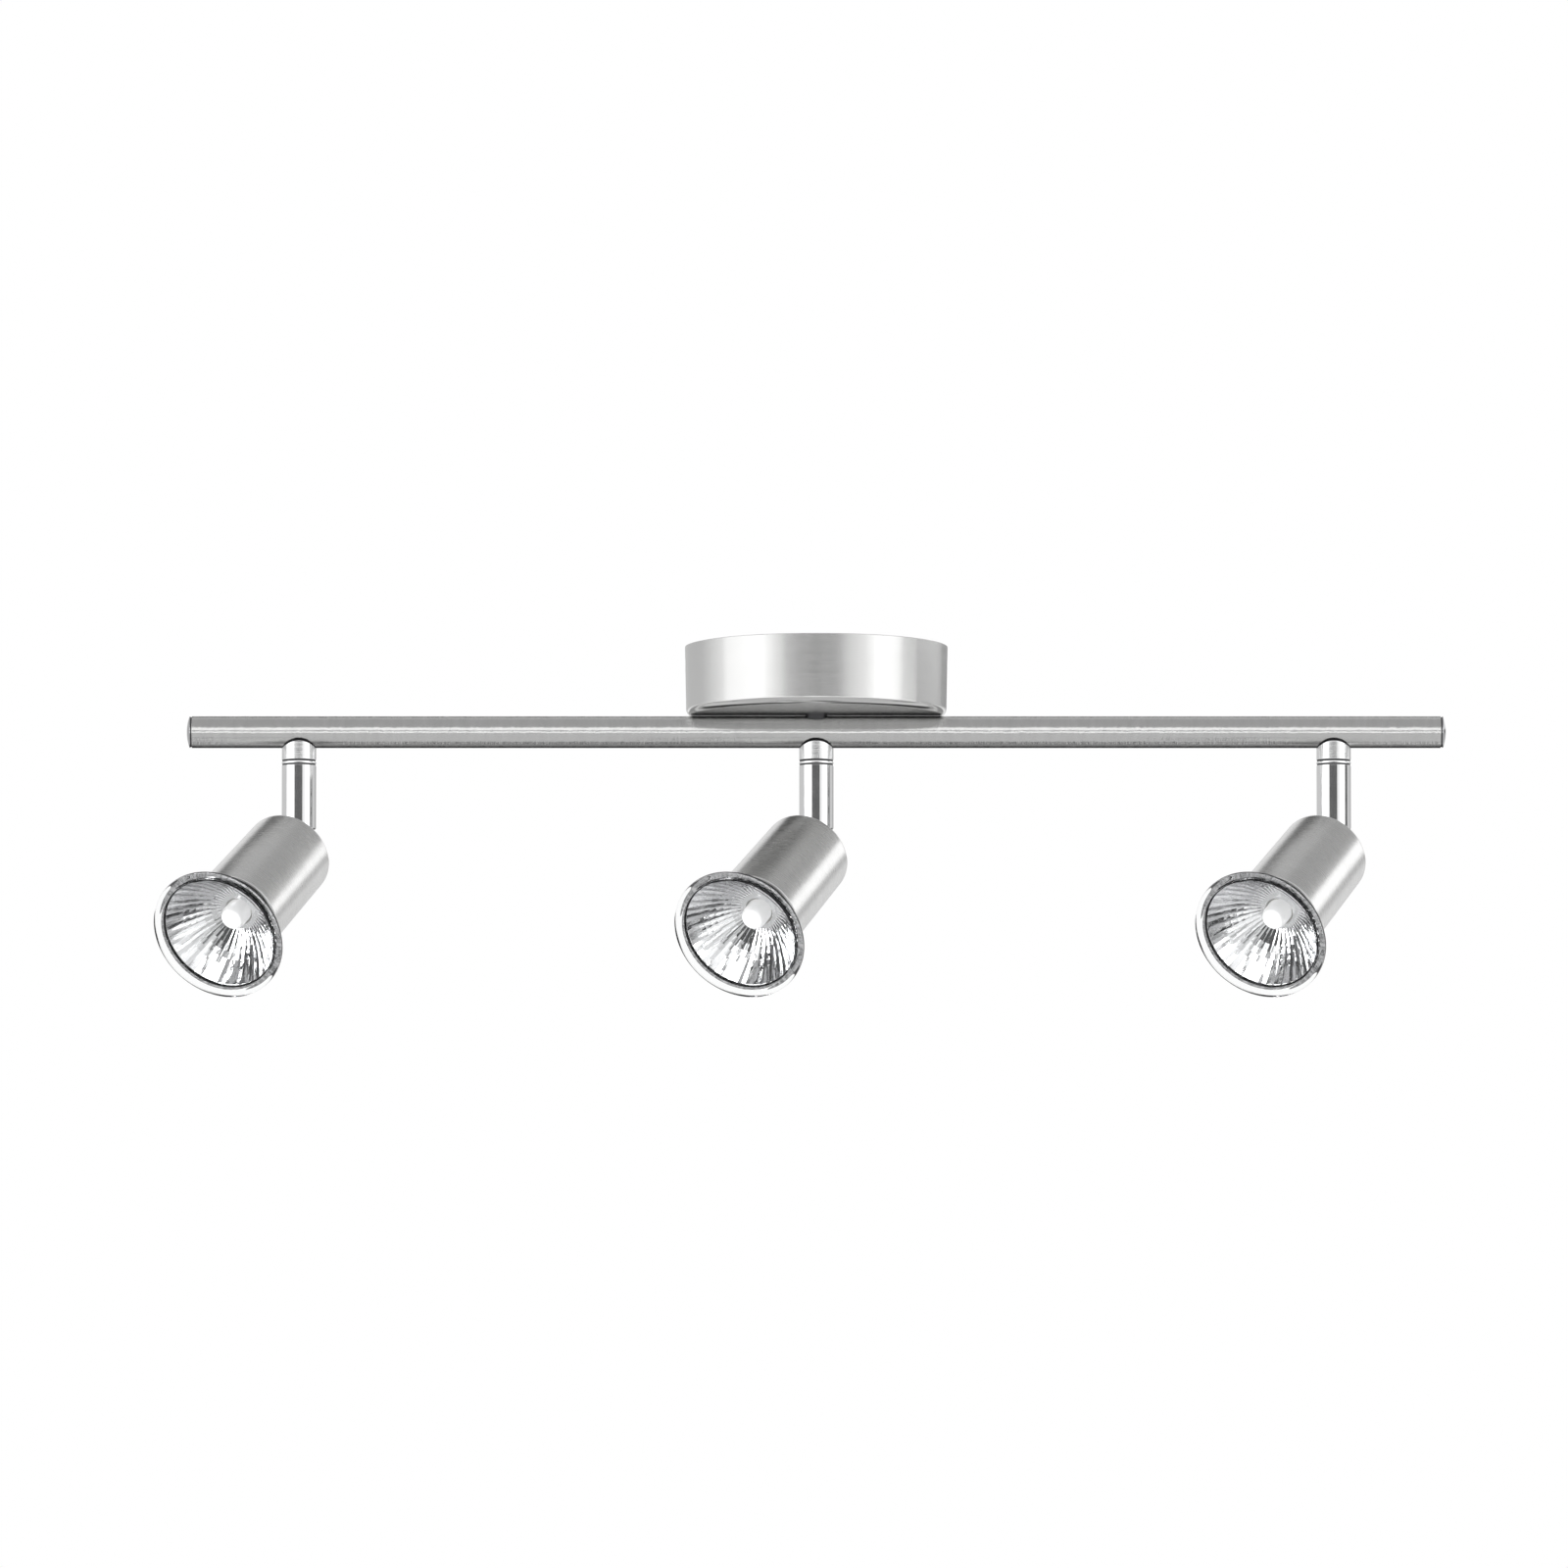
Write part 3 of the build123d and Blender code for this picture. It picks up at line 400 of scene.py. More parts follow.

# Collar, ring, black washers that paint the shade in the gaps, and stem, from the bar down
STEM_RADIUS = 6.25
COLLAR_TOP = -34.7
COLLAR_ARC = 2.4
# Height of the collar's black top band, painted shade where it meets the bar
COLLAR_SHADE_LINE = 0.26
COLLAR_FOOT = -41.6
RING_TOP = -42.2
RING_FOOT = -43.1
STEM_TOP = -43.6
EDGE_ROUND = 0.15
# Black washers in the gaps round the ring, painted shade
WASHER_RADIUS = 6.05
WASHER_GAP = 0.03
STEM_SHELF = -46.35
STEM_FOOT = -66.85
FOOT_ROUND = 0.2
FOOT_ZONE = 0.25
FOOT_NOTCH = 0.85
NOTCH_FLAT = 2.5
NOTCH_SLOPE = 1.2
STUD_RADIUS = 3.25
STEM_BORE = 5.2

# Head shell, along the lamp's axis from the pivot
REAR_FACE = 7.0
REAR_WALL = 8.2
SHELL_FRONT = 58.0
SHELL_REAR_RADIUS = 16.2
SHELL_FRONT_RADIUS = 17.05
SHELL_WALL = 1.2
SHELL_ROUND = 3.0
SHELL_LIP = 0.4
SHANK_HOLE = 4.0

# Lamp, along the same axis: front glass and its seal
LAMP_FRONT = 73.5
RIM_RADIUS = 25.25
RIM_REAR = 69.9
RIM_INNER = 22.35
RIM_ROUND = 1.2
RIM_LIP = 0.5
COVER_FRONT = 72.3
COVER_REAR = 70.7
COVER_FRONT_ROUND = 0.4
COVER_REAR_ROUND = 0.3
SEAL_INNER = 21.6
SEAL_OUTER = 22.2
SEAL_REAR = 69.6
SEAL_FRONT = 70.6
SEAL_ROUND = 0.2

# Bowl, a paraboloid, and the burner in it
BOWL_START = 68.5
BOWL_MOUTH = 23.25
BOWL_RATE = 29.478
BOWL_SEAT = 23.95
BOWL_WALL = 1.4
BOWL_LIP = 0.7
INNER_SHIFT = 0.7
BACK_RINGS = 16
FACET_RINGS = 8
NECK_RADIUS = 8.6
NECK_FRONT = 52.67
NECK_REAR = 44.67
NECK_BORE = 5.4
FLUTES = 44
FLUTE_SWELL = 0.12
BACK_SLOT = 1
# Slot of the bowl's seat band, painted black as a dark reflection in the flange
SHADED_SEAT_SLOT = 2
BURNER_TIP = 60.5
BURNER_RADIUS = 4.6
BURNER_STALK = 3.0
BURNER_SHOULDER = 2.0
SHOULDER_ROUND = 1.0
TIP_INSET = 1.2
TIP_ROUND = 1.2
FROST_DEPTH = 0.7

# Mesh fineness, and the height that still counts as the same level when points are picked
CANOPY_STEPS = 256
HEAD_STEPS = 192
GLASS_STEPS = 160
BAR_STEPS = 128
SMALL_STEPS = 96
FLUTE_STEPS = 4
ROUND_STEPS = 8
HOLE_STEPS = 32
SAME_LEVEL = 0.01
SHARP_DEGREES = 35.0
FACET_DEGREES = 2.0

# Distances in metres below which points are one, and a direction that sorts each mesh
SAME_POINT = 1e-7
NO_LENGTH = 1e-8
SLIVER = 1e-5
ORDER = Vector((0.6131, 0.2713, 0.7427))

ALONG_X = Matrix.Rotation(math.radians(90), 4, "Y")


def add_object(name, data):
    item = bpy.data.objects.new(name, data)
    scene.collection.objects.link(item)
    return item


def add_mesh(name, bm):
    """An object in the scene of a bmesh, which is freed."""
    mesh = bpy.data.meshes.new(name)
    bm.to_mesh(mesh)
    bm.free()
    return add_object(name, mesh)


def lathe(bm, profile, rounds=(), steps=BAR_STEPS, matrix=Matrix(), closed=True):
    """Spins a profile of (radius, height) points about Z and gives the new faces.

    rounds gives a radius for some corners, each by its place in the profile."""
    corners = [bm.verts.new((radius * MM, 0, height * MM)) for radius, height in profile]
    for first, second in zip(corners, corners[1:] + corners[:1] if closed else corners[1:]):
        bm.edges.new((first, second))
    outline = list(corners)
    for corner, radius in rounds:
        result = bmesh.ops.bevel(bm, geom=[corners[corner]], offset=radius * MM, segments=ROUND_STEPS,
                                 profile=0.5, affect="VERTICES", material=-1)
        outline += result["verts"]
    outline = list(dict.fromkeys(vert for vert in outline if vert.is_valid))
    edges = list(dict.fromkeys(edge for vert in outline for edge in vert.link_edges))
    before = set(bm.faces)
    bmesh.ops.spin(bm, geom=outline + edges, cent=(0, 0, 0), axis=(0, 0, 1), angle=2 * math.pi,
                   steps=steps, use_merge=True)
    faces = [face for face in bm.faces if face not in before]
    bmesh.ops.transform(bm, matrix=matrix, verts=points_of(faces))
    return faces


def points_of(faces):
    return list({vert for face in faces for vert in face.verts})


def even_normals(item):
    """Keeps walls and faces even beside their small rounds."""
    even = item.modifiers.new("even_normals", "WEIGHTED_NORMAL")
    even.keep_sharp = True


def piece(name, bm, body, finishes, replaced=(), sharp=SHARP_DEGREES):
    """Makes a piece of a bmesh: closed, faces outwards, smooth between its sharp edges."""
    bmesh.ops.remove_doubles(bm, verts=bm.verts, dist=SAME_POINT)
    bmesh.ops.dissolve_degenerate(bm, edges=bm.edges, dist=NO_LENGTH)
    bmesh.ops.recalc_face_normals(bm, faces=bm.faces)
    bm.verts.sort(key=lambda vert: vert.co.dot(ORDER))
    bm.edges.sort(key=lambda edge: sum((vert.co for vert in edge.verts), Vector()).dot(ORDER))
    bm.faces.sort(key=lambda face: face.calc_center_median().dot(ORDER))
    for face in bm.faces:
        face.smooth = True
    for edge in bm.edges:
        edge.smooth = edge.calc_face_angle(0.0) < math.radians(sharp)
    item = add_mesh(name, bm)
    for finish in finishes:
        item.data.materials.append(finish)
    even_normals(item)
    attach(item, body)
    if replaced:
        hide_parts(*replaced)
    return item


def pierce(item, cutter):
    """Cuts a bmesh out of a finished piece, for holes across a turned wall."""
    tool = add_mesh("cutter", cutter)
    item.modifiers.clear()
    cut = item.modifiers.new("holes", "BOOLEAN")
    cut.operation = "DIFFERENCE"
    cut.object = tool
    result = bpy.data.meshes.new_from_object(item.evaluated_get(bpy.context.evaluated_depsgraph_get()))
    item.modifiers.clear()
    clean = bmesh.new()
    clean.from_mesh(result)
    bmesh.ops.remove_doubles(clean, verts=clean.verts, dist=SLIVER)
    bmesh.ops.dissolve_degenerate(clean, edges=clean.edges, dist=SLIVER)
    clean.to_mesh(result)
    clean.free()
    item.data = result
    even_normals(item)
    bpy.data.objects.remove(tool)


def build_canopy():
    """Spun cup, with a hole in each side for the screws that hold it."""
    bm = bmesh.new()
    floor = CANOPY_WALL - CANOPY_HEIGHT
    profile = [(STUB_HOLE, -CANOPY_HEIGHT), (CANOPY_FOOT_RADIUS, -CANOPY_HEIGHT), (CANOPY_RADIUS, 0)]
    profile += [(CANOPY_RADIUS - CANOPY_WALL, 0), (CANOPY_FOOT_RADIUS - CANOPY_WALL, floor)]
    profile.append((STUB_HOLE, floor))
    rounds = [(1, CANOPY_EDGE), (2, CANOPY_RIM), (3, CANOPY_RIM), (4, CANOPY_EDGE - CANOPY_WALL)]
    lathe(bm, profile, rounds, steps=CANOPY_STEPS)
    canopy = piece("canopy_cup", bm, "fixture", [FINISHES["canopy"]], ["canopy"])
    cutter = bmesh.new()
    place = Matrix.Translation((0, 0, SIDE_HOLE_Z * MM)) @ ALONG_X
    past_both_walls = 4 * CANOPY_RADIUS * MM
    bmesh.ops.create_cone(cutter, cap_ends=True, segments=HOLE_STEPS, radius1=SIDE_HOLE * MM,
                          radius2=SIDE_HOLE * MM, depth=past_both_walls, matrix=place)
    pierce(canopy, cutter)


def build_bar():
    bm = bmesh.new()
    place = Matrix.Translation((0, 0, BAR_Z * MM)) @ ALONG_X
    profile = [(BAR_BORE, -BAR_HALF), (BAR_RADIUS, -BAR_HALF)]
    profile += [(BAR_RADIUS, BAR_HALF), (BAR_BORE, BAR_HALF)]
    lathe(bm, profile, [(1, BAR_ROUND), (2, BAR_ROUND)], matrix=place)
    piece("bar_skin", bm, "fixture", [FINISHES["bar_tube"]], ["bar_tube"])


def build_cap(side, sign):
    """Domed end cap on a plug, with a black band at the bar's end: painted shade for the gap between cap
    and bar.
    """
    bm = bmesh.new()
    rise = CAP_HEIGHT - CAP_RIM
    ball = (CAP_EDGE**2 + rise**2) / (2 * rise)
    dome = [(r, CAP_HEIGHT - ball + math.sqrt(ball**2 - r**2)) for r in DOME_RADII]
    plug = BAR_BORE - PLUG_GAP
    profile = [(0, -CAP_PLUG), (plug, -CAP_PLUG), (plug, 0), (CAP_NECK, 0)]
    profile += [(CAP_NECK, CAP_SHADE_LINE), (CAP_EDGE, CAP_SHADE_LINE)] + dome[::-1]
    for face in lathe(bm, profile, [(5, CAP_BACK_ROUND), (6, CAP_FRONT_ROUND)], steps=SMALL_STEPS):
        # Faces of the band next to the bar take the black finish, as painted shade in the gap
        shade_band = 0 < face.calc_center_median().z < CAP_SHADE_LINE * MM
        face.material_index = int(shade_band)
    turn = Matrix.Rotation(math.radians(90) * sign, 4, "Y")
    place = Matrix.Translation((sign * BAR_HALF * MM, 0, BAR_Z * MM)) @ turn
    bmesh.ops.transform(bm, matrix=place, verts=bm.verts)
    finishes = [FINISHES["end_cap"], FINISHES["seal"]]
    piece("polished_cap_" + side, bm, "fixture", finishes, ["end_cap_" + side])


def saddle(x, y):
    """Height of a collar's top edge: an arc from the front, never above the bar's underside."""
    arc = COLLAR_TOP - COLLAR_ARC * (x / STEM_RADIUS) ** 2
    if abs(y) < BAR_RADIUS:
        arc = min(arc, BAR_Z - math.sqrt(BAR_RADIUS**2 - y**2))
    return arc


def build_collar(side):
    """Collar saddled on the bar, with a black band along its top edge: painted shade where it meets the
    bar.
    """
    bm = bmesh.new()
    shade_edge = COLLAR_TOP - COLLAR_SHADE_LINE
    profile = [(STUD_RADIUS, COLLAR_FOOT), (STEM_RADIUS, COLLAR_FOOT), (STEM_RADIUS, shade_edge)]
    profile += [(STEM_RADIUS, COLLAR_TOP), (STUD_RADIUS, COLLAR_TOP), (STUD_RADIUS, shade_edge)]
    for face in lathe(bm, profile, [(1, EDGE_ROUND)], steps=SMALL_STEPS):
        # The band above this height takes the black finish, painted shade under the bar
        face.material_index = int(face.calc_center_median().z > shade_edge * MM)
    for vert in bm.verts:
        if vert.co.z > (shade_edge - SAME_LEVEL) * MM:
            vert.co.z -= (COLLAR_TOP - saddle(vert.co.x / MM, vert.co.y / MM)) * MM
    bmesh.ops.transform(bm, matrix=Matrix.Translation((STATION_X[side], 0, 0)), verts=bm.verts)
    finishes = [FINISHES["collar"], FINISHES["seal"]]
    piece("polished_collar_" + side, bm, "fixture", finishes, ["collar_" + side])


def build_rings():
    """The thin ring below each collar, between two black washers that stand in for the shade in the
    gaps.
    """
    rings = bmesh.new()
    washers = bmesh.new()
    for side in SIDES:
        place = Matrix.Translation((STATION_X[side], 0, 0))
        profile = [(STUD_RADIUS, RING_FOOT), (STEM_RADIUS, RING_FOOT), (STEM_RADIUS, RING_TOP)]
        profile.append((STUD_RADIUS, RING_TOP))
        lathe(rings, profile, [(1, EDGE_ROUND), (2, EDGE_ROUND)], steps=SMALL_STEPS, matrix=place)
        # Black washers fill the gaps above and below the ring as painted shade
        for low, high in ((RING_TOP, COLLAR_FOOT), (STEM_TOP + WASHER_GAP, RING_FOOT)):
            profile = [(STUD_RADIUS, low), (WASHER_RADIUS, low)]
            profile += [(WASHER_RADIUS, high), (STUD_RADIUS, high)]
            lathe(washers, profile, steps=SMALL_STEPS, matrix=place)
    piece("polished_rings", rings, "fixture", [FINISHES["swivel_rings"]], ["swivel_rings"])
    shadow_washer_set = piece("shadow_gap_washers", washers, "fixture", [FINISHES["seal"]])


def build_stem(side):
    """Stem, with a notch in its foot that clears the tongue's flange when the head is level."""
    bm = bmesh.new()
    profile = [(STEM_BORE, STEM_FOOT), (STEM_RADIUS, STEM_FOOT), (STEM_RADIUS, STEM_TOP)]
    profile += [(STUD_RADIUS, STEM_TOP), (STUD_RADIUS, STEM_SHELF), (STEM_BORE, STEM_SHELF)]
    lathe(bm, profile, [(1, FOOT_ROUND), (2, EDGE_ROUND)], steps=HEAD_STEPS)
    for vert in bm.verts:
        if vert.co.z < (STEM_FOOT + FOOT_ZONE) * MM and vert.co.dot(FACING) > 0:
            across = abs(vert.co.dot(PIVOT_AXIS)) / MM
            share = min(1.0, max(0.0, (NOTCH_FLAT + NOTCH_SLOPE - across) / NOTCH_SLOPE))
            vert.co.z += share * FOOT_NOTCH * MM
    bmesh.ops.transform(bm, matrix=Matrix.Translation((STATION_X[side], 0, 0)), verts=bm.verts)
    piece("polished_stem_" + side, bm, "stem_body_" + side, [FINISHES["stem"]], ["stem_" + side])


def build_shell(side):
    bm = bmesh.new()
    profile = [(SHANK_HOLE, REAR_FACE), (SHELL_REAR_RADIUS, REAR_FACE)]
    profile += [(SHELL_FRONT_RADIUS, SHELL_FRONT), (SHELL_FRONT_RADIUS - SHELL_WALL, SHELL_FRONT)]
    profile += [(SHELL_REAR_RADIUS - SHELL_WALL, REAR_WALL), (SHANK_HOLE, REAR_WALL)]
    rounds = [(1, SHELL_ROUND), (2, SHELL_LIP), (3, SHELL_LIP), (4, SHELL_ROUND - SHELL_WALL)]
    lathe(bm, profile, rounds, steps=HEAD_STEPS, matrix=head_place(side))
    finishes = [FINISHES["head_shell"]]
    piece("brushed_shell_" + side, bm, "head_body_" + side, finishes, ["head_shell_" + side])


def build_front_glass(side):
    """Cover glass in one with its clear flange."""
    bm = bmesh.new()
    profile = [(0, COVER_REAR), (RIM_INNER, COVER_REAR), (RIM_INNER, RIM_REAR)]
    profile += [(RIM_RADIUS, RIM_REAR), (RIM_RADIUS, LAMP_FRONT), (RIM_INNER, LAMP_FRONT)]
    profile += [(RIM_INNER, COVER_FRONT), (0, COVER_FRONT)]
    rounds = [(3, RIM_ROUND), (4, RIM_ROUND), (5, RIM_LIP)]
    rounds += [(6, COVER_FRONT_ROUND), (1, COVER_REAR_ROUND)]
    lathe(bm, profile, rounds, steps=GLASS_STEPS, matrix=head_place(side))
    finishes = [FINISHES["lamp_cover_glass"]]
    piece("front_glass_" + side, bm, "lamp_body_" + side, finishes, ["lamp_cover_glass_" + side])


def bowl_profile(rings, inset=0.0, shift=0.0):
    """Points up the paraboloid, moved inwards and forwards."""
    heights = [NECK_FRONT + (BOWL_START - NECK_FRONT) * i / rings for i in range(rings + 1)]
    radii = [math.sqrt(BOWL_MOUTH**2 - BOWL_RATE * (BOWL_START - height)) for height in heights]
    return [(radius - inset, height + shift) for radius, height in zip(radii, heights)]


def build_bowl(side):
    """Bowl of one lamp: smooth behind, facets in rings and columns inside, its seat painted black as a
    dark reflection seen through the flange.
    """
    place = head_place(side)
    bm = bmesh.new()
    lip = (BOWL_MOUTH - BOWL_LIP, RIM_REAR)
    back = [(NECK_BORE, NECK_REAR), (NECK_RADIUS, NECK_REAR)] + bowl_profile(BACK_RINGS)
    back += [(BOWL_SEAT, BOWL_START), (BOWL_SEAT, RIM_REAR), lip]
    for face in lathe(bm, back, steps=FLUTE_STEPS * FLUTES, closed=False):
        height = face.calc_center_median().z / MM
        # The seat band takes the black finish: painted dark reflection seen through the flange
        painted_seat = BOWL_START < height < RIM_REAR - SAME_LEVEL
        face.material_index = SHADED_SEAT_SLOT if painted_seat else BACK_SLOT
    bmesh.ops.transform(bm, matrix=place, verts=bm.verts)
    inside = [(NECK_BORE, NECK_REAR), (NECK_BORE, NECK_FRONT + INNER_SHIFT)]
    inside += bowl_profile(FACET_RINGS, BOWL_WALL, INNER_SHIFT) + [lip]
    flutes = lathe(bm, inside, steps=FLUTE_STEPS * FLUTES, closed=False)
    for vert in points_of(flutes):
        height = vert.co.z / MM
        if NECK_FRONT + INNER_SHIFT - SAME_LEVEL < height < RIM_REAR - SAME_LEVEL:
            swell = abs(math.cos(FLUTES / 2 * math.atan2(vert.co.y, vert.co.x)))
            vert.co.xy -= vert.co.xy.normalized() * swell * FLUTE_SWELL * MM
    bmesh.ops.transform(bm, matrix=place, verts=points_of(flutes))
    finishes = [FINISHES["lamp_reflector"], FINISHES["bowl_back"], FINISHES["seal"]]
    name = "faceted_bowl_" + side
    piece(name, bm, "lamp_body_" + side, finishes, ["lamp_reflector_" + side], sharp=FACET_DEGREES)


def build_seal(side):
    """Dark ring of cement between bowl and front glass."""
    bm = bmesh.new()
    profile = [(SEAL_INNER, SEAL_REAR), (SEAL_OUTER, SEAL_REAR), (SEAL_OUTER, SEAL_FRONT)]
    profile.append((SEAL_INNER, SEAL_FRONT))
    lathe(bm, profile, [(0, SEAL_ROUND), (3, SEAL_ROUND)], matrix=head_place(side))
    seal = piece("rim_seal_" + side, bm, "lamp_body_" + side, [FINISHES["seal"]])


def build_burner(side):
    """Quartz capsule on its stalk, frosted at the tip; tip and side carry a painted glow."""
    bm = bmesh.new()
    profile = [(0, NECK_REAR), (BURNER_STALK, NECK_REAR), (BURNER_STALK, NECK_FRONT)]
    profile += [(BURNER_RADIUS, NECK_FRONT), (BURNER_RADIUS, BURNER_TIP - BURNER_SHOULDER)]
    profile += [(BURNER_RADIUS - TIP_INSET, BURNER_TIP), (0, BURNER_TIP)]
    for face in lathe(bm, profile, [(4, SHOULDER_ROUND), (5, TIP_ROUND)], steps=SMALL_STEPS):
        face.material_index = int(face.calc_center_median().z < (BURNER_TIP - FROST_DEPTH) * MM)
    bmesh.ops.transform(bm, matrix=head_place(side), verts=bm.verts)
    finishes = [FINISHES["lamp_burner"], FINISHES["capsule_side"]]
    piece("glowing_capsule_" + side, bm, "lamp_body_" + side, finishes, ["lamp_burner_" + side])


build_canopy()
build_bar()
build_cap("left", -1)
build_cap("right", 1)
for station in SIDES:
    build_collar(station)
build_rings()
for station in SIDES:
    build_stem(station)
    build_shell(station)
    build_front_glass(station)
    build_bowl(station)
    build_seal(station)
    build_burner(station)


# Studio: camera at the photograph's angle, white surround, soft lamps and reflection cards, in metres
MM_PER_PIXEL = 0.358
FRAME_PIXELS = 1600
SENSOR_WIDTH = 36.0
CAMERA_DISTANCE = 8.0
CAMERA_REACH = 100.0
CAMERA_ELEVATION = math.radians(-5.8)
AIM = Vector((-11.8 * MM, 0, -50.3 * MM))
ROOM_LIGHT = 0.45
ROOM_WHITE = 1.0
FLOOR_Z = -1.2
FLOOR_HALF = 6.0
FLOOR_GLOW = 0.95
FLOOR_GLOW_SHARE = 0.65
LAMP_DISTANCE = 2.2
CARD_ROWS = 8
CARD_COLUMNS = 24


def add_camera():
    data = bpy.data.cameras.new("photo_camera")
    data.sensor_width = SENSOR_WIDTH
    data.lens = data.sensor_width * CAMERA_DISTANCE / (MM_PER_PIXEL * MM * FRAME_PIXELS)
    data.clip_end = CAMERA_REACH
    camera = add_object("photo_camera", data)
    back = Vector((0, -math.cos(CAMERA_ELEVATION), math.sin(CAMERA_ELEVATION)))
    camera.location = AIM + back * CAMERA_DISTANCE
    camera.rotation_euler = (-back).to_track_quat("-Z", "Y").to_euler()
    scene.camera = camera


def add_world():
    """White where it is seen, mirrored or seen through glass, and dimmer as light on the object."""
    world = bpy.data.worlds.new("white_room")
    scene.world = world
    look = Finish(world)
    camera = look.node("ShaderNodeLightPath", output="Is Camera Ray")
    glossy = look.node("ShaderNodeLightPath", output="Is Glossy Ray")
    through = look.node("ShaderNodeLightPath", output="Is Transmission Ray")
    seen = look.node("ShaderNodeClamp", {}, {"Value": camera + glossy + through})
    soft = look.glow("ShaderNodeBackground", ROOM_LIGHT)
    white = look.glow("ShaderNodeBackground", ROOM_WHITE)
    look.node("ShaderNodeOutputWorld", {}, {"Surface": look.mix(seen, soft, white)})


def add_floor():
    """A pale floor far below, mixed with white where the camera sees it and clear from underneath."""
    bm = bmesh.new()
    place = Matrix.Translation((0, 0, FLOOR_Z))
    bmesh.ops.create_grid(bm, x_segments=1, y_segments=1, size=FLOOR_HALF, matrix=place)
    floor = add_mesh("floor", bm)
    look = material("floor")
    cloud = look.grain(size=(0.4, 0.4, 0.4))
    colour = look.tint(cloud, low=(0.86, 0.86, 0.86), high=(0.9, 0.9, 0.9))
    pale = look.node("ShaderNodeBsdfPrincipled", {}, {"Base Color": colour, "Roughness": 0.8})
    clear = look.node("ShaderNodeBsdfTransparent")
    seen = look.node("ShaderNodeLightPath", output="Is Camera Ray")
    lit = look.mix(FLOOR_GLOW_SHARE * seen, pale, look.glow("ShaderNodeEmission", FLOOR_GLOW))
    below = look.node("ShaderNodeNewGeometry", output="Backfacing")
    floor.data.materials.append(look.close(look.mix(below, lit, clear)))


def direction(azimuth, elevation):
    """Unit vector from the object; azimuth 0 is towards the camera and positive to its right."""
    az, el = math.radians(azimuth), math.radians(elevation)
    return Vector((math.sin(az) * math.cos(el), -math.cos(az) * math.cos(el), math.sin(el)))


def add_lamp(name, azimuth, elevation, size, power):
    """A soft box that lights the object and isn't mirrored in it."""
    data = bpy.data.lights.new(name, "AREA")
    data.shape = "RECTANGLE"
    data.size, data.size_y = size
    data.energy = power
    lamp = add_object(name, data)
    towards = direction(azimuth, elevation)
    lamp.location = AIM + towards * LAMP_DISTANCE
    lamp.rotation_euler = (-towards).to_track_quat("-Z", "Z").to_euler()
    lamp.visible_glossy = False


def add_card(name, azimuths, elevations, levels, distance, shown):
    """A curved card between two azimuths and elevations, fading from its left to its right level."""
    bm = bmesh.new()
    low = bm.verts.new(AIM + direction(azimuths[0], elevations[0]) * distance)
    high = bm.verts.new(AIM + direction(azimuths[0], elevations[1]) * distance)
    edge = bm.edges.new((low, high))
    bmesh.ops.subdivide_edges(bm, edges=[edge], cuts=CARD_ROWS)
    for vert in bm.verts:
        vert.co = AIM + (vert.co - AIM).normalized() * distance
    layer = bm.verts.layers.float.new("level")
    span = azimuths[1] - azimuths[0]
    bmesh.ops.spin(bm, geom=bm.verts[:] + bm.edges[:], cent=AIM, axis=(0, 0, 1),
                   angle=math.radians(span), steps=CARD_COLUMNS)
    for vert in bm.verts:
        away = vert.co - AIM
        turn = math.degrees(math.atan2(away.x, -away.y)) - azimuths[0]
        # A point just short of the left edge is at the edge, not a full turn from it
        turn = (turn + 1) % 360 - 1
        vert[layer] = levels[0] + (levels[1] - levels[0]) * turn / span
    card = add_mesh(name, bm)
    look = material(name)
    level = look.node("ShaderNodeAttribute", {"attribute_name": "level"}, output="Fac")
    card.data.materials.append(look.close(look.glow("ShaderNodeEmission", level)))
    card.visible_camera = False
    card.visible_diffuse = False
    card.visible_glossy, card.visible_transmission = shown
    card.visible_shadow = False


# What shows a card: bare metal, mirrors behind the lamp glass, or both
METAL = (True, False)
GLASS = (False, True)
BOTH = (True, True)

# How far a card stands: round the room, in front of those, or close by under the object
FAR = 9.0
GLOW = 8.9
LINE = 8.8
SHADE = 8.7
UNDER = 1.15
NEAR = 1.1

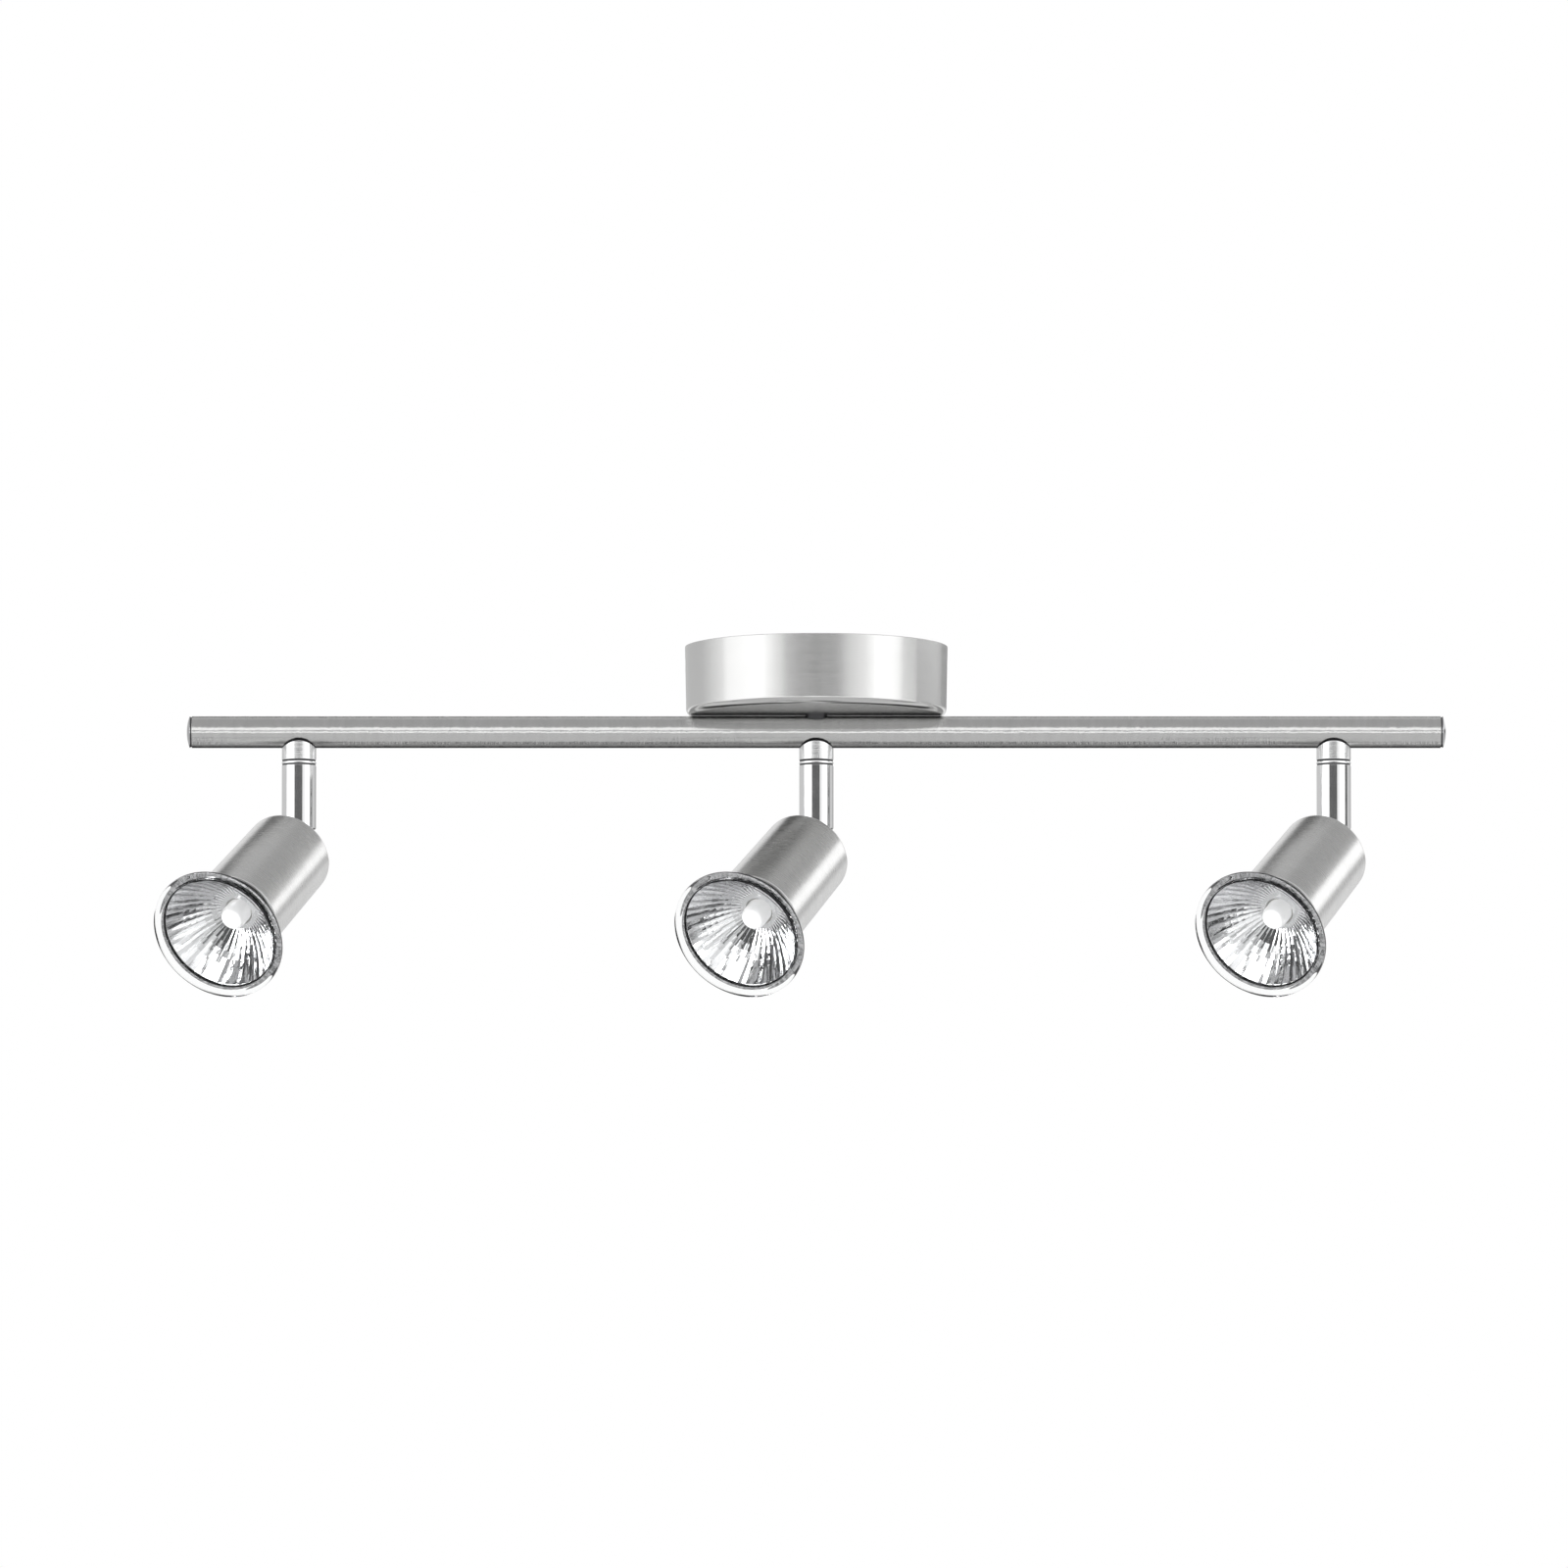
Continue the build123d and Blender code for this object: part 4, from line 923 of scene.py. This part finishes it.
# Cards by name: azimuths, elevations, levels from left to right, distance and what shows them
CARDS = {
    "front_dark": ((-29, 23), (5.0, 6.8), (0.12, 0.12), LINE, BOTH),
    "front_shade_left": ((-46, 0), (0.0, 5.0), (1.3, 0.02), LINE, BOTH),
    "front_shade_right": ((0, 52), (0.0, 5.0), (0.02, 1.25), LINE, BOTH),
    "level_left": ((-29, -10), (-3.0, 0.0), (0.7, 0.12), LINE, METAL),
    "level_right": ((10, 29), (-3.0, 0.0), (0.12, 0.4), LINE, METAL),
    "front_glow_high": ((-46, 46), (6.8, 13), (1.3, 1.3), GLOW, METAL),
    "front_glow": ((-46, 46), (-9, 0.0), (1.7, 1.7), GLOW, METAL),
    "front_glow_low": ((-46, 46), (-18, -9), (0.9, 0.9), GLOW, METAL),
    "bowl_shade": ((-82, -5), (-15.5, 24), (0.1, 0.1), SHADE, GLASS),
    "bowl_shade_low": ((-70, 4), (-27, -15.5), (0.2, 0.2), NEAR, GLASS),
    "bowl_fill": ((20, 70), (-46, -16), (1.05, 1.05), NEAR, GLASS),
    "front_high": ((-46, 46), (13, 26.5), (1.35, 1.35), FAR, BOTH),
    "front_top": ((-46, 46), (26.5, 34), (0.46, 0.46), FAR, BOTH),
    "front_left": ((-38, 6), (-16, 13), (1.1, 0.65), FAR, BOTH),
    "front_right": ((6, 46), (-16, 13), (0.65, 1.1), FAR, BOTH),
    "left_soft": ((-87, -38), (-16, 34), (1.4, 1.7), FAR, BOTH),
    "right_soft": ((46, 78), (-16, 34), (1.7, 1.5), FAR, BOTH),
    "left_line": ((-64, -50), (12, 34), (0.1, 0.25), LINE, METAL),
    "right_line_high": ((52, 66), (12, 34), (0.25, 0.1), LINE, METAL),
    "left_fade": ((-120, -87), (-1, 14), (0.7, 1.35), FAR, BOTH),
    "left_rear": ((-180, -120), (-1, 14), (0.6, 0.7), FAR, METAL),
    "left_strip": ((-180, -89), (5.0, 6.6), (0.62, 0.62), LINE, METAL),
    "right_line": ((81, 102), (5.0, 6.6), (0.13, 0.13), LINE, BOTH),
    "right_strip": ((102, 144), (5.0, 6.6), (0.62, 0.62), LINE, METAL),
    "right_edge": ((144, 180), (5.0, 6.6), (0.33, 0.33), LINE, METAL),
    "right_fade": ((78, 100), (-0.5, 9), (1.35, 1.1), FAR, METAL),
    "right_rear": ((100, 180), (-0.5, 7), (0.32, 0.75), FAR, METAL),
    "right_glow": ((100, 136), (5.2, 24), (1.7, 1.6), GLOW, BOTH),
    "right_top": ((78, 180), (24, 34), (0.5, 0.5), FAR, BOTH),
    "right_low": ((90, 180), (-10, -0.5), (1.1, 0.9), FAR, METAL),
    "rear_dark": ((180, 210), (38, 56), (0.1, 0.1), LINE, METAL),
    "rear_high": ((135, 215), (56, 74), (0.62, 0.62), LINE, METAL),
    "low_front": ((-90, 90), (-78, -16), (0.65, 0.65), UNDER, BOTH),
    "low_right": ((90, 132), (-78, -14), (0.8, 0.8), UNDER, METAL),
    "low_rear": ((132, 228), (-78, -50), (0.3, 0.3), UNDER, METAL),
    "low_line": ((132, 228), (-50, -14), (0.05, 0.05), UNDER, METAL),
    "low_left": ((228, 270), (-78, -14), (0.75, 0.75), UNDER, METAL),
    "rear_line": ((175, 195), (-14, -4.5), (0.05, 0.05), LINE, METAL),
    "below": ((-180, 180), (-89, -78), (0.18, 0.18), NEAR, BOTH),
    "top": ((-180, 180), (34, 89), (0.46, 0.46), FAR, BOTH),
}

add_camera()
add_world()
add_floor()
add_lamp("left_box", azimuth=-62, elevation=15, size=(1.2, 1.6), power=45)
add_lamp("right_box", azimuth=58, elevation=15, size=(0.8, 1.6), power=35)
add_lamp("front_box", azimuth=0, elevation=40, size=(2.0, 0.8), power=30)
for card_name, settings in CARDS.items():
    add_card(card_name, *settings)
